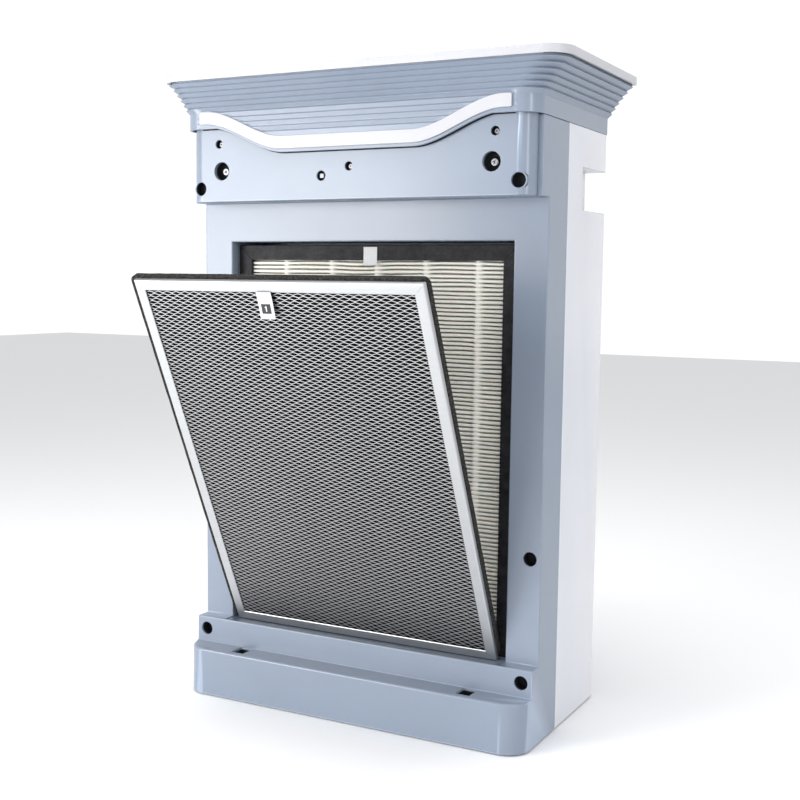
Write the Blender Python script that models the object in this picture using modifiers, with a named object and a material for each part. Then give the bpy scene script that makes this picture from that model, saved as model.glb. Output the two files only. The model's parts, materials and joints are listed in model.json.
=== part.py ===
"""Household air purifier with its front cover taken off.

The grey front housing carries the filter recess, the white rear housing carries the fan, and a
flared crown with a white top plate holds the air outlet and the keys.  The coarse pre-filter stands
in the recess and leans out at the top, in front of the pleated main filter.

Metres.  X is width, Y is depth with the front towards -Y, Z is up.  The origin is on the floor,
in the middle of the width, in the plane of the main front face.
"""

import math

import bmesh
import bpy
from mathutils import Matrix, Vector

# ------------------------------------------------------------------ overall sizes
CASE_WIDTH = 0.380
CASE_DEPTH = 0.1575  # main front face to the back of the rear housing
OVERALL_HEIGHT = 0.6357
WALL = 0.0025
GAP = 0.0003  # clearance between neighbouring pieces
FLOOR_GAP = 0.0015  # housings' lower edge above the floor
SEAM_Y = 0.048  # joint line between the front and rear housings

# ------------------------------------------------------------------ front housing
PLINTH_HEIGHT = 0.0495
PLINTH_DEPTH = 0.0397
PLINTH_CORNER = 0.0235
LEDGE_HEIGHT = 0.0266
LEDGE_DEPTH = 0.0157
CHEEK_DEPTH = 0.0165
SIDE_BORDER = 0.03325
TOP_BORDER = 0.0389
REVEAL_DEPTH = 0.011
SILL_DROP = 0.0006
SILL_LIP = 0.0016
SOCKET_RADIUS = 0.0068
SOCKET_DEPTH = 0.012
SOCKET_WALL = 0.0030
SOCKET_INSET = 0.0113  # centre of a lower cover socket to the side wall
LEDGE_SOCKET_RISE = 0.0139  # above the plinth
FACE_SOCKET_RISE = 0.1008  # above the ledge
SLOT_INSET = 0.0623
SLOT_WIDTH = 0.0135
SLOT_LENGTH = 0.0170
SLOT_POCKET = 0.014
CORNER_STEPS = 10

# ------------------------------------------------------------------ upper cover
BAND_HEIGHT = 0.0713
BAND_DEPTH = 0.032
BAND_INSET = 0.0053
BAND_CORNER = 0.0150
BAND_HIDDEN = 0.008  # the cover's top edge, tucked behind the crown
UPPER_SOCKET_INSET = 0.0177
UPPER_SOCKET_RISE = 0.0131
UPPER_SOCKET_WALL = 0.0015
COVER_SCREW_INSET = 0.0436
COVER_SCREW_RISE = 0.0300
COVER_WELL_RADIUS = 0.0090
COVER_WELL_DEPTH = 0.0100
PANEL_SCREW_INSET = 0.0405
PANEL_SCREW_RISE = 0.0567
MIDDLE_SCREW_RISE = 0.0307
PANEL_WELL_RADIUS = 0.0042
PANEL_WELL_DEPTH = 0.0060
WELL_WALL = 0.0015
COVER_SCREW = (0.0020, 0.0045)  # shank radius, head radius
PANEL_SCREW = (0.0012, 0.0030)
HEAD_SHARE = 0.6  # head height, and the width of its flat top, to the head radius
CROSS_LENGTH = 0.55  # recess arm to the head radius
CROSS_WIDTH = 0.11
SCREW_BITE = 0.009  # screw length inside the housing's boss
SCREW_END_ROOM = 0.002
BOSS_WALL = 0.0042
BOSS_END = 0.0015
SWITCH_X = -0.0304
SWITCH_RISE = 0.0225
SWITCH_HOLE_RADIUS = 0.0048

# ------------------------------------------------------------------ crown and top
CROWN_HEIGHT = 0.0472
CORNICE_HEIGHT = 0.0298
CROWN_PROUD = 0.00075
CROWN_FRONT = 0.038
CROWN_CORNER = 0.020
CROWN_CORNER_GROWTH = 0.004  # over the full flare
REAR_CORNER = 0.004
FLARE_SIDE = 0.0262
FLARE_FRONT = 0.0050
FLARE_REAR = 0.0037
RIB_COUNT = 6
RIB_GROOVE = 0.0009
WAVE_HALF_LENGTH = 0.1676
WAVE_START = 0.070
WAVE_END = 0.160
WAVE_DROP = 0.0269
WAVE_TOP_INSET = 0.0014  # trim's upper edge below the cornice, at its ends
TRIM_HEIGHT = 0.012
TRIM_THICKNESS = 0.0018
LIP_HEIGHT = 0.0028
APRON_OVERLAP = 0.012
PLATE_THICKNESS = 0.0076
PLATE_SKIN = 0.003
PLATE_OVERHANG = 0.0010
PLATE_CORNER = 0.024
OUTLET_SIDE_MARGIN = 0.068
OUTLET_FRONT = 0.058
OUTLET_REAR_MARGIN = 0.022
OUTLET_SLOT_COUNT = 9
KEY_RADIUS = 0.0072
KEY_PITCH = 0.032
KEY_Y = 0.012
KEY_TRAVEL = 0.001
KEY_PROUD = 0.0012
KEY_EDGE = 0.0006
KEY_FLANGE = 0.0015
KEY_FLANGE_THICKNESS = 0.0010
KEY_STEM_RADIUS = 0.0020
KEY_STEM_LENGTH = 0.0040  # below the plate's skin
KEY_TO_BOARD = 0.0010  # with the key pressed home
WINDOW_WIDTH = 0.062
WINDOW_DEPTH = 0.012
WINDOW_Y = -0.016
CHIP_PLACES = (-0.045, 0.0, 0.040)
CHIP_SIZE = (0.016, 0.014, 0.002)
CHIP_Y = 0.003

# ------------------------------------------------------------------ filters
HEPA_FRONT = 0.0125
HEPA_DEPTH = 0.035
HEPA_SIDE_CLEARANCE = 0.0008
HEPA_TOP_CLEARANCE = 0.0030
HEPA_BORDER = 0.015
HEPA_WALL = 0.0020
GASKET_THICKNESS = 0.0030
GASKET_WIDTH = 0.010
TAB_WIDTH = 0.015
TAB_THICKNESS = 0.0008
HEPA_TAB_INSET = 0.002  # below the frame's top
HEPA_TAB_LENGTH = 0.018
PREFILTER_TAB_X = -0.008
PREFILTER_TAB_OVERLAP = 0.001  # onto the metal border
PREFILTER_TAB_LENGTH = 0.025
PREFILTER_FOOT_Y = -0.0010
PREFILTER_LEAN = math.radians(24.9)
PREFILTER_SIDE_CLEARANCE = 0.0043
PREFILTER_TOP_CLEARANCE = 0.0037
PREFILTER_THICKNESS = 0.0120
FOAM_OVERHANG = 0.0045
FOAM_TOP_OVERHANG = 0.0022
FOAM_SHIFT = 0.0035  # the foam is glued on off centre, towards -X
METAL_DEPTH = 0.0050
METAL_BORDER = 0.0100
METAL_SKIN = 0.0010
SCREEN_THICKNESS = 0.0008

# ------------------------------------------------------------------ fan
FAN_SPACE = 0.0030  # filter bay to fan housing
REAR_SPACE = 0.0275  # fan housing to the rear wall, for the motor
SCROLL_CLEARANCE = 0.003  # to the handle pockets
SCROLL_WALL = 0.0020
VOLUTE_START = 0.008
VOLUTE_GROWTH = 0.045
TONGUE_ANGLE = math.radians(75.0)
FAN_RUNNING_GAP = 0.004
BLADE_COUNT = 24
BLADE_DEPTH = 0.014
BLADE_SHARE = 0.42
BLADE_ANGLE = math.radians(28)
BLADE_RIM = 0.004  # solid ring at the front of the blades
BACK_DISC = 0.0025
HUB_RADIUS = 0.011
HUB_LENGTH = 0.028
SHAFT_RADIUS = 0.004
SHAFT_AHEAD = 0.030  # of the impeller's back
SHAFT_BEHIND = 0.016
NUT_THICKNESS = 0.0012
NUT_SHARE = 0.8  # corner radius to the hub radius
MOTOR_RADIUS = 0.036
MOTOR_EDGE = 0.004
MOTOR_FACE_SHARE = 0.8
MOTOR_REAR_ROOM = 0.003
BUSH_WALL = 0.0025
BUSH_LENGTH = 0.010
BORE_END_ROOM = 0.002  # behind the shaft's end
BRACKET_WIDTH = 0.018
BRACKET_THICKNESS = 0.002
BRACKET_ARM = (0.012, 0.034)  # reach from the motor's side
BRACKET_ARM_HALF = 0.008
INTAKE_SHARE = 0.86
GUARD_BAR = 0.0022

# ------------------------------------------------------------------ base and electrics
BASE_THICKNESS = 0.003
FOOT_RADIUS = 0.011
FOOT_HEIGHT = 0.0027
FOOT_EDGE = 0.0008
FOOT_INSET = 0.028
HANDLE_REACH = 0.022
HANDLE_LENGTH = 0.0705
HANDLE_HEIGHT = 0.041
HANDLE_DROP = 0.0373  # below the top of the rear housing
HANDLE_CORNER = 0.004
INLET_WIDTH = 0.028
INLET_HEIGHT = 0.020
INLET_DEPTH = 0.022
INLET_X = -0.135
INLET_Z = 0.034
INLET_WALL = 0.003
INLET_BACK = 0.005
INLET_PROUD = 0.0005
BOARD_THICKNESS = 0.0016
BOARD_LOW = (-0.060, 0.020)
BOARD_HIGH = (0.080, 0.110)
POST_HEIGHT = 0.006
POST_RADIUS = 0.003
POST_INSET = 0.006
TRANSFORMER = (0.020, 0.050, 0.036, 0.036, 0.028)  # x, y, width, depth, height
HEAT_SINK = (-0.050, 0.030, 0.004, 0.050, 0.026)
RELAY = (-0.030, 0.085, 0.020, 0.015, 0.016)
CAPACITOR_PLACE = (-0.020, 0.045)
CAPACITOR_RADIUS = 0.009
CAPACITOR_HEIGHT = 0.027
LEAD_RADIUS = 0.0025
LEAD_STEP = 0.012
LEAD_CLEARANCE = 0.0020  # control lead to the seam between the housings, where it rises
LEAD_PLUG_Y = 0.065
LEAD_BEND = 0.030
SWITCH_BODY = (0.018, 0.016)  # width, height
SWITCH_SET_BACK = 0.0040  # behind the cover's skin
SWITCH_END = 0.0015
PLUNGER_HALF = 0.0020
PLUNGER_INSET = 0.0015  # behind the cover's face
PLUNGER_HELD = 0.0025  # inside the switch
IONISER_SIZE = (0.012, 0.026, 0.024)
IONISER_DROP = 0.030  # below the case top
IONISER_FRONT = 0.020  # behind the scroll's cover
IONISER_SIDE = 0.004
NEEDLE_RADIUS = 0.0010
NEEDLE_LENGTH = 0.010
NEEDLE_ROOT = 0.003
NEEDLE_PLACES = (0.006, 0.020)

# ------------------------------------------------------------------ levels worked out from the above
HALF = CASE_WIDTH / 2
INNER_HALF = HALF - WALL
REAR_INNER = CASE_DEPTH - WALL
CROWN_TOP = OVERALL_HEIGHT - PLATE_THICKNESS - GAP
CROWN_BOTTOM = CROWN_TOP - CROWN_HEIGHT
CASE_TOP = CROWN_BOTTOM - GAP
BAND_BOTTOM = CASE_TOP - BAND_HEIGHT
LEDGE_TOP = PLINTH_HEIGHT + LEDGE_HEIGHT
SILL_Z = LEDGE_TOP - SILL_DROP
OPENING_TOP = BAND_BOTTOM - TOP_BORDER
OPENING_HALF = HALF - SIDE_BORDER
WAVE_TOP = CROWN_TOP - CORNICE_HEIGHT - WAVE_TOP_INSET
BAY_REAR = HEPA_FRONT + HEPA_DEPTH + GASKET_THICKNESS + 2 * GAP
FAN_FRONT = BAY_REAR + WALL + FAN_SPACE
SCROLL_BACK = REAR_INNER - REAR_SPACE
SCROLL_FRONT = FAN_FRONT + SCROLL_WALL + GAP
FAN_Z = (SILL_Z + OPENING_TOP) / 2
VOLUTE_END = HALF - HANDLE_REACH - WALL - SCROLL_CLEARANCE - SCROLL_WALL
IMPELLER_RADIUS = VOLUTE_END - VOLUTE_GROWTH - VOLUTE_START
IMPELLER_FRONT = SCROLL_FRONT + FAN_RUNNING_GAP
IMPELLER_BACK = SCROLL_BACK - SCROLL_WALL - FAN_RUNNING_GAP
INTAKE_RADIUS = IMPELLER_RADIUS * INTAKE_SHARE
PREFILTER_HALF = OPENING_HALF - PREFILTER_SIDE_CLEARANCE - FOAM_OVERHANG
PREFILTER_BOTTOM = SILL_Z + GAP
PREFILTER_TOP = OPENING_TOP - PREFILTER_TOP_CLEARANCE
BASE_Z = FOOT_HEIGHT + GAP
INNER_FLOOR = BASE_Z + BASE_THICKNESS

GREY = (0.42, 0.47, 0.58)
WHITE = (0.86, 0.87, 0.88)
BLACK = (0.02, 0.02, 0.02)

parts = None
cutters = None


# ------------------------------------------------------------------ modelling helpers
def start():
    """Empty the scene and make the two collections that everything goes into."""
    global parts, cutters
    for item in list(bpy.data.objects):
        bpy.data.objects.remove(item)
    parts = bpy.data.collections.new("air_purifier")
    cutters = bpy.data.collections.new("cutters")
    bpy.context.scene.collection.children.link(parts)
    bpy.context.scene.collection.children.link(cutters)


def add(name, mesh):
    item = bpy.data.objects.new(name, mesh)
    parts.objects.link(item)
    return item


def paint(item, colour, roughness=0.4, metallic=0.0):
    material = bpy.data.materials.new(item.name)
    material.use_nodes = True
    shader = material.node_tree.nodes["Principled BSDF"]
    shader.inputs["Base Color"].default_value = (*colour, 1.0)
    shader.inputs["Roughness"].default_value = roughness
    shader.inputs["Metallic"].default_value = metallic
    item.data.materials.clear()
    item.data.materials.append(material)
    return item


def mesh_from(bm, name):
    mesh = bpy.data.meshes.new(name)
    bmesh.ops.recalc_face_normals(bm, faces=bm.faces)
    bm.to_mesh(mesh)
    bm.free()
    return mesh


def block(name, low, high):
    """A box between two corners."""
    bm = bmesh.new()
    bmesh.ops.create_cube(bm, size=1.0)
    for vert in bm.verts:
        for axis in range(3):
            middle = (low[axis] + high[axis]) / 2
            vert.co[axis] = middle + vert.co[axis] * (high[axis] - low[axis])
    return add(name, mesh_from(bm, name))


def round_edges(item, chosen, radius, segments=5):
    """Round the mesh edges whose two ends both satisfy the test."""
    bm = bmesh.new()
    bm.from_mesh(item.data)
    edges = [e for e in bm.edges if all(chosen(v.co) for v in e.verts)]
    bmesh.ops.bevel(bm, geom=edges, offset=radius, segments=segments, profile=0.5, affect="EDGES")
    bm.to_mesh(item.data)
    bm.free()
    return item


def round_upright(item, plane, radius, segments=4):
    """Round the two upright edges that lie in the plane Y = plane."""
    bm = bmesh.new()
    bm.from_mesh(item.data)
    edges = [
        e for e in bm.edges
        if all(abs(v.co.y - plane) < GAP / 2 for v in e.verts)
        and abs(e.verts[0].co.x - e.verts[1].co.x) < GAP / 2
    ]
    bmesh.ops.bevel(bm, geom=edges, offset=radius, segments=segments, profile=0.5, affect="EDGES")
    bm.to_mesh(item.data)
    bm.free()


def prism(name, outline, low, high, plane="YZ"):
    """An outline in a plane, extruded between two values along the third axis."""
    places = {
        "YZ": lambda u, v, w: (w, u, v),
        "XZ": lambda u, v, w: (u, w, v),
        "XY": lambda u, v, w: (u, v, w),
    }
    place = places[plane]
    bm = bmesh.new()
    face = bm.faces.new([bm.verts.new(place(u, v, low)) for u, v in outline])
    moved = bmesh.ops.extrude_face_region(bm, geom=[face])["geom"]
    shift = [b - a for a, b in zip(place(0, 0, low), place(0, 0, high))]
    bmesh.ops.translate(bm, vec=shift, verts=[g for g in moved if isinstance(g, bmesh.types.BMVert)])
    return add(name, mesh_from(bm, name))


def turned(name, profile, location, axis="Z", steps=24):
    """A profile of (radius, height) points turned about an axis; on axis Y its top faces the front."""
    mesh = bpy.data.meshes.new(name)
    closed = profile[0][0] > 0
    count = len(profile)
    edges = [(i, (i + 1) % count) for i in range(count if closed else count - 1)]
    mesh.from_pydata([(r, 0.0, h) for r, h in profile], edges, [])
    item = add(name, mesh)
    item.location = location
    item.rotation_euler.x = math.radians(90) if axis == "Y" else 0.0
    screw = item.modifiers.new("turn", "SCREW")
    screw.steps = screw.render_steps = steps
    screw.use_merge_vertices = True
    screw.merge_threshold = 0.00001
    screw.use_smooth_shade = False
    return item


def rod(name, radius, low, high, centre, axis="Y", steps=16):
    """A plain round bar between two values along its axis, through centre's two other values."""
    if axis == "Z":
        return turned(name, [(0, high), (radius, high), (radius, low), (0, low)], (*centre, 0), "Z", steps)
    profile = [(0, -low), (radius, -low), (radius, -high), (0, -high)]
    return turned(name, profile, (centre[0], 0, centre[1]), "Y", steps)


def ring_profile(inner, outer, top, bottom):
    return [(inner, top), (outer, top), (outer, bottom), (inner, bottom)]


def combine(item, others, operation):
    """Cut the other shapes from an item, or join them to it, and hide them."""
    group = bpy.data.collections.new(f"{item.name}_{operation.lower()}")
    cutters.children.link(group)
    for other in others:
        for holder in list(other.users_collection):
            holder.objects.unlink(other)
        group.objects.link(other)
        other.hide_render = True
        other.display_type = "WIRE"
    change = item.modifiers.new(operation.lower(), "BOOLEAN")
    change.operation = operation
    change.operand_type = "COLLECTION"
    change.collection = group
    change.solver = "EXACT"
    return item


def cut(item, *others):
    return combine(item, others, "DIFFERENCE")


def join(item, *others):
    return combine(item, others, "UNION")


def rounded_outline(half_x, front, rear, front_radius, rear_radius, steps=5):
    """A rectangle with round corners, anticlockwise from the front right corner."""
    corners = [
        (half_x - front_radius, front + front_radius, front_radius, -90),
        (half_x - rear_radius, rear - rear_radius, rear_radius, 0),
        (-half_x + rear_radius, rear - rear_radius, rear_radius, 90),
        (-half_x + front_radius, front + front_radius, front_radius, 180),
    ]
    points = []
    for x, y, radius, first in corners:
        for i in range(steps + 1):
            angle = math.radians(first + 90 * i / steps)
            points.append((x + radius * math.cos(angle), y + radius * math.sin(angle)))
    return points


def loft(name, rings):
    """A ring-shaped solid whose section runs through closed loops of points, the last to the first."""
    bm = bmesh.new()
    loops = [[bm.verts.new(point) for point in ring] for ring in rings]
    for first, second in zip(loops, loops[1:] + loops[:1]):
        for i in range(len(first)):
            j = (i + 1) % len(first)
            bm.faces.new((first[i], first[j], second[j], second[i]))
    return add(name, mesh_from(bm, name))


def frame(name, half_x, low_z, high_z, border, front, back):
    """A rectangular picture frame in the XZ plane."""
    body = block(name, (-half_x, front, low_z), (half_x, back, high_z))
    window = block(
        f"{name}_window",
        (-half_x + border, front - WALL, low_z + border),
        (half_x - border, back + WALL, high_z - border),
    )
    return cut(body, window)


def hang(items, pivot):
    """Parent pieces to a pivot empty, keeping the upright places they were modelled in."""
    for item in items:
        item.parent = pivot
        item.matrix_parent_inverse = Matrix.Translation(-pivot.location)


def empty(name, location):
    item = bpy.data.objects.new(name, None)
    item.location = location
    parts.objects.link(item)
    return item


def mirrored(places):
    """Each (x, ...) place and its mirror image."""
    return [(sign * place[0], *place[1:]) for place in places for sign in (-1, 1)]


# ------------------------------------------------------------------ housings
def housing_side(offset, rear):
    """The front housing's side view, moved inwards by offset, running out past the rear and top."""
    bottom = FLOOR_GAP if offset == 0 else -WALL
    top = CASE_TOP if offset == 0 else CASE_TOP + WALL
    return [
        (rear, bottom),
        (-PLINTH_DEPTH + offset, bottom),
        (-PLINTH_DEPTH + offset, PLINTH_HEIGHT - offset),
        (-LEDGE_DEPTH + offset, PLINTH_HEIGHT - offset),
        (-LEDGE_DEPTH + offset, LEDGE_TOP - offset),
        (offset, LEDGE_TOP - offset),
        (offset, BAND_BOTTOM + offset),
        (-CHEEK_DEPTH + offset, BAND_BOTTOM + offset),
        (-CHEEK_DEPTH + offset, top),
        (rear, top),
    ]


def socket_places():
    """Centres (x, front plane, z) of the four lower sockets for the front cover's pegs."""
    x = HALF - SOCKET_INSET
    return mirrored([
        (x, -LEDGE_DEPTH, PLINTH_HEIGHT + LEDGE_SOCKET_RISE),
        (x, 0.0, LEDGE_TOP + FACE_SOCKET_RISE),
    ])


def sleeves(label, places, radius, wall, depth):
    """Blind round sleeves behind a front plane."""
    made = []
    for n, (x, y, z) in enumerate(places):
        made.append(rod(f"{label}_sleeve_{n}", radius + wall, y + WALL / 2, y + depth + WALL, (x, z)))
    return made


def holes(label, places, radius, depth):
    """Round cutters from ahead of a front plane to a depth behind it."""
    made = []
    for n, (x, y, z) in enumerate(places):
        made.append(rod(f"{label}_hole_{n}", radius, y - WALL, y + depth, (x, z)))
    return made


def slot_boxes(label, margin, bottom, top):
    """Boxes round the two slots in the plinth's top."""
    rear = -LEDGE_DEPTH - GAP
    made = []
    for n, (x,) in enumerate(mirrored([(HALF - SLOT_INSET,)])):
        low = (x - SLOT_WIDTH / 2 - margin, rear - SLOT_LENGTH - margin, bottom)
        high = (x + SLOT_WIDTH / 2 + margin, rear + margin, top)
        made.append(block(f"{label}_{n}", low, high))
    return made


def opening_box(name, margin, front, rear):
    """A box through the filter opening, larger by a margin all round."""
    low = (-OPENING_HALF - margin, front, SILL_Z - margin)
    high = (OPENING_HALF + margin, rear, OPENING_TOP + margin)
    return block(name, low, high)


def make_front_housing():
    rear = SEAM_Y - GAP / 2
    body = prism("front_housing", housing_side(0, rear), -HALF, HALF)
    corner = min(PLINTH_CORNER, PLINTH_DEPTH - LEDGE_DEPTH - GAP)
    round_upright(body, -PLINTH_DEPTH, corner, CORNER_STEPS)
    hollow = prism("front_hollow", housing_side(WALL, rear + WALL), -INNER_HALF, INNER_HALF)
    round_upright(hollow, -PLINTH_DEPTH + WALL, corner - WALL, CORNER_STEPS)
    cut(body, hollow)
    places = socket_places()
    screws = screw_places()
    slot_low = PLINTH_HEIGHT - WALL - SLOT_POCKET
    boss_depth = SCREW_BITE + SCREW_END_ROOM
    join(
        body,
        opening_box("reveal", WALL, WALL / 2, REVEAL_DEPTH),
        *sleeves("cover", places, SOCKET_RADIUS, SOCKET_WALL, SOCKET_DEPTH),
        *slot_boxes("slot_pocket", WALL / 2, slot_low, PLINTH_HEIGHT - WALL / 2),
        *[rod(f"boss_{n}", r + BOSS_WALL, -CHEEK_DEPTH + WALL / 2, -CHEEK_DEPTH + boss_depth + BOSS_END,
              (x, z), steps=16)
          for n, (x, z, r, _) in enumerate(screws)],
    )
    sill = block(
        "sill",
        (-OPENING_HALF, -LEDGE_DEPTH + SILL_LIP, SILL_Z),
        (OPENING_HALF, WALL, LEDGE_TOP + WALL),
    )
    cut(
        body,
        opening_box("opening", 0, -WALL, REVEAL_DEPTH + WALL),
        sill,
        *holes("cover", places, SOCKET_RADIUS, SOCKET_DEPTH),
        *slot_boxes("slot", 0, slot_low + WALL, PLINTH_HEIGHT + WALL),
        *[rod(f"boss_hole_{n}", r + GAP, -CHEEK_DEPTH - WALL, -CHEEK_DEPTH + boss_depth, (x, z), steps=16)
          for n, (x, z, r, _) in enumerate(screws)],
    )
    return paint(body, GREY, 0.35)


def make_rear_housing():
    front = SEAM_Y + GAP / 2
    body = block("rear_housing", (-HALF, front, FLOOR_GAP), (HALF, CASE_DEPTH, CASE_TOP))
    hollow = block(
        "rear_hollow",
        (-INNER_HALF, front - WALL, -WALL),
        (INNER_HALF, REAR_INNER, CASE_TOP + WALL),
    )
    for item in (body, hollow):
        back = max(v.co.y for v in item.data.vertices)
        round_upright(item, back, REAR_CORNER)
    cut(body, hollow)
    top = CASE_TOP - HANDLE_DROP
    low = (HALF - HANDLE_REACH, CASE_DEPTH - HANDLE_LENGTH, top - HANDLE_HEIGHT)
    pockets = []
    notches = []
    for sign in (-1, 1):
        outer = sorted((sign * (low[0] - WALL), sign * (HALF - WALL / 2)))
        pocket = block(
            f"pocket_{sign}",
            (outer[0], low[1] - WALL, low[2] - WALL),
            (outer[1], CASE_DEPTH - WALL / 2, top + WALL),
        )
        pockets.append(pocket)
        reach = sorted((sign * low[0], sign * (HALF + WALL)))
        notch = block(f"notch_{sign}", (reach[0], low[1], low[2]), (reach[1], CASE_DEPTH + WALL, top))
        inner = sign * low[0]
        round_edges(notch, lambda p, x=inner: abs(p.x - x) < GAP and p.y < CASE_DEPTH, HANDLE_CORNER, 4)
        notches.append(notch)
    join(body, *pockets)
    inlet = block(
        "inlet_hole",
        (INLET_X - INLET_WIDTH / 2, REAR_INNER - WALL, INLET_Z - INLET_HEIGHT / 2),
        (INLET_X + INLET_WIDTH / 2, CASE_DEPTH + WALL, INLET_Z + INLET_HEIGHT / 2),
    )
    cut(body, inlet, *notches)
    return paint(body, WHITE, 0.35)


def screw_places():
    """(x, z, shank radius, head radius) of the five screws that hold the upper cover."""
    cover = [(HALF - COVER_SCREW_INSET, BAND_BOTTOM + COVER_SCREW_RISE, *COVER_SCREW)]
    panel = [(HALF - PANEL_SCREW_INSET, BAND_BOTTOM + PANEL_SCREW_RISE, *PANEL_SCREW)]
    middle = [(0.0, BAND_BOTTOM + MIDDLE_SCREW_RISE, *PANEL_SCREW)]
    return mirrored(cover) + mirrored(panel) + middle


def well(radius):
    """Well radius and depth for a screw with this shank radius."""
    if radius == COVER_SCREW[0]:
        return COVER_WELL_RADIUS, COVER_WELL_DEPTH
    return PANEL_WELL_RADIUS, PANEL_WELL_DEPTH


def make_upper_cover():
    half = HALF - BAND_INSET
    rear = -CHEEK_DEPTH - GAP
    top = CASE_TOP + BAND_HIDDEN
    corner = min(BAND_CORNER, BAND_DEPTH - CHEEK_DEPTH - 2 * GAP)
    body = block("upper_cover", (-half, -BAND_DEPTH, BAND_BOTTOM + GAP), (half, rear, top))
    round_upright(body, -BAND_DEPTH, corner, CORNER_STEPS)
    hollow = block(
        "upper_hollow",
        (-half + WALL, -BAND_DEPTH + WALL, BAND_BOTTOM + GAP + WALL),
        (half - WALL, rear + WALL, top - WALL),
    )
    round_upright(hollow, -BAND_DEPTH + WALL, corner - WALL, CORNER_STEPS)
    cut(body, hollow)
    sockets = mirrored([(HALF - UPPER_SOCKET_INSET, -BAND_DEPTH, BAND_BOTTOM + UPPER_SOCKET_RISE)])
    wells = []
    pits = []
    for n, (x, z, shank, _) in enumerate(screw_places()):
        radius, depth = well(shank)
        wells.append(rod(f"well_{n}", radius + WELL_WALL, -BAND_DEPTH + WALL / 2,
                         -BAND_DEPTH + depth + WALL, (x, z)))
        pits.append(rod(f"pit_{n}", radius, -BAND_DEPTH - WALL, -BAND_DEPTH + depth, (x, z)))
        pits.append(rod(f"pit_shank_{n}", shank + GAP, -BAND_DEPTH, 0, (x, z), steps=16))
    join(body, *wells, *sleeves("upper", sockets, SOCKET_RADIUS, UPPER_SOCKET_WALL, SOCKET_DEPTH - WALL))
    switch = rod("switch_hole", SWITCH_HOLE_RADIUS, -BAND_DEPTH - WALL, -BAND_DEPTH + 2 * WALL,
                 (SWITCH_X, BAND_BOTTOM + SWITCH_RISE))
    cut(body, switch, *pits, *holes("upper", sockets, SOCKET_RADIUS, SOCKET_DEPTH - WALL))
    return paint(body, GREY, 0.35)


def make_screws():
    names = ["cover_screw_left", "cover_screw_right", "panel_screw_left", "panel_screw_right",
             "panel_screw_middle"]
    for name, (x, z, shank, head) in zip(names, screw_places()):
        seat = -BAND_DEPTH + well(shank)[1] - GAP
        thick = head * HEAD_SHARE
        tip = -CHEEK_DEPTH + SCREW_BITE
        profile = [
            (0, -seat + thick),
            (head * HEAD_SHARE, -seat + thick),
            (head, -seat + thick / 2),
            (head, -seat),
            (shank, -seat),
            (shank, -tip),
            (0, -tip),
        ]
        screw = turned(name, profile, (x, 0, z), "Y", 16)
        arms = []
        for n, (wide, tall) in enumerate(((CROSS_LENGTH, CROSS_WIDTH), (CROSS_WIDTH, CROSS_LENGTH))):
            low = (x - wide * head, seat - thick - WALL, z - tall * head)
            high = (x + wide * head, seat - thick / 2, z + tall * head)
            arms.append(block(f"{name}_cross_{n}", low, high))
        cut(screw, *arms)
        paint(screw, (0.55, 0.55, 0.56), 0.3, 1.0)


# ------------------------------------------------------------------ crown and top
def wave(x):
    """Height of the trim's upper edge: level in the middle and at the ends, with a smooth rise."""
    t = min(max((abs(x) - WAVE_START) / (WAVE_END - WAVE_START), 0.0), 1.0)
    return WAVE_TOP - WAVE_DROP * (1.0 - t * t * (3.0 - 2.0 * t))


def wave_points(half, shift, steps=36):
    return [(x, wave(x) + shift) for x in (half * (2 * i / steps - 1) for i in range(steps + 1))]


def crown_outline(share, inset=0.0):
    """The crown seen from above, flared by a share of its full flare and moved in by an inset."""
    return rounded_outline(
        HALF + CROWN_PROUD + FLARE_SIDE * share - inset,
        -CROWN_FRONT - FLARE_FRONT * share + inset,
        CASE_DEPTH + FLARE_REAR * share - inset,
        CROWN_CORNER + CROWN_CORNER_GROWTH * share - inset / 2,
        REAR_CORNER,
        CORNER_STEPS,
    )


def make_crown():
    def level(share, z, inset=0.0):
        return [(x, y, z) for x, y in crown_outline(share, inset)]

    foot = CROWN_TOP - CORNICE_HEIGHT
    rise = CORNICE_HEIGHT / RIB_COUNT
    rings = [level(0, CROWN_BOTTOM), level(0, foot)]
    for n in range(RIB_COUNT):
        share = (n + 1) / RIB_COUNT
        rings.append(level(share, foot + n * rise + RIB_GROOVE))
        rings.append(level(share, foot + (n + 1) * rise))
    rings.append(level(1, CROWN_TOP, 2 * WALL))
    rings.append(level(0, foot, WALL))
    rings.append(level(0, CROWN_BOTTOM, WALL))
    body = loft("crown", rings)
    top = CROWN_BOTTOM + APRON_OVERLAP
    half = WAVE_HALF_LENGTH - GAP
    outline = wave_points(half, -TRIM_HEIGHT - LIP_HEIGHT) + [(half, top), (-half, top)]
    apron = prism("apron", outline, -CROWN_FRONT + GAP / 3, -CROWN_FRONT + WALL - GAP / 3, "XZ")
    join(body, apron)
    return paint(body, GREY, 0.35)


def make_wave_trim():
    upper = wave_points(WAVE_HALF_LENGTH, 0)
    lower = wave_points(WAVE_HALF_LENGTH, -TRIM_HEIGHT)
    front = -CROWN_FRONT - GAP - TRIM_THICKNESS
    trim = prism("wave_trim", lower + upper[::-1], front, -CROWN_FRONT - GAP, "XZ")
    return paint(trim, WHITE, 0.3)


def plate_edges():
    half = HALF + CROWN_PROUD + FLARE_SIDE + PLATE_OVERHANG
    front = -CROWN_FRONT - FLARE_FRONT - PLATE_OVERHANG / 2
    return half, front, CASE_DEPTH + FLARE_REAR + PLATE_OVERHANG


def outlet_edges():
    """Half width, front and rear of the outlet opening in the top plate."""
    half, _, rear = plate_edges()
    return half - OUTLET_SIDE_MARGIN, OUTLET_FRONT, rear - OUTLET_REAR_MARGIN


def key_places():
    return [((n - 2) * KEY_PITCH, KEY_Y) for n in range(5)]


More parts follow.
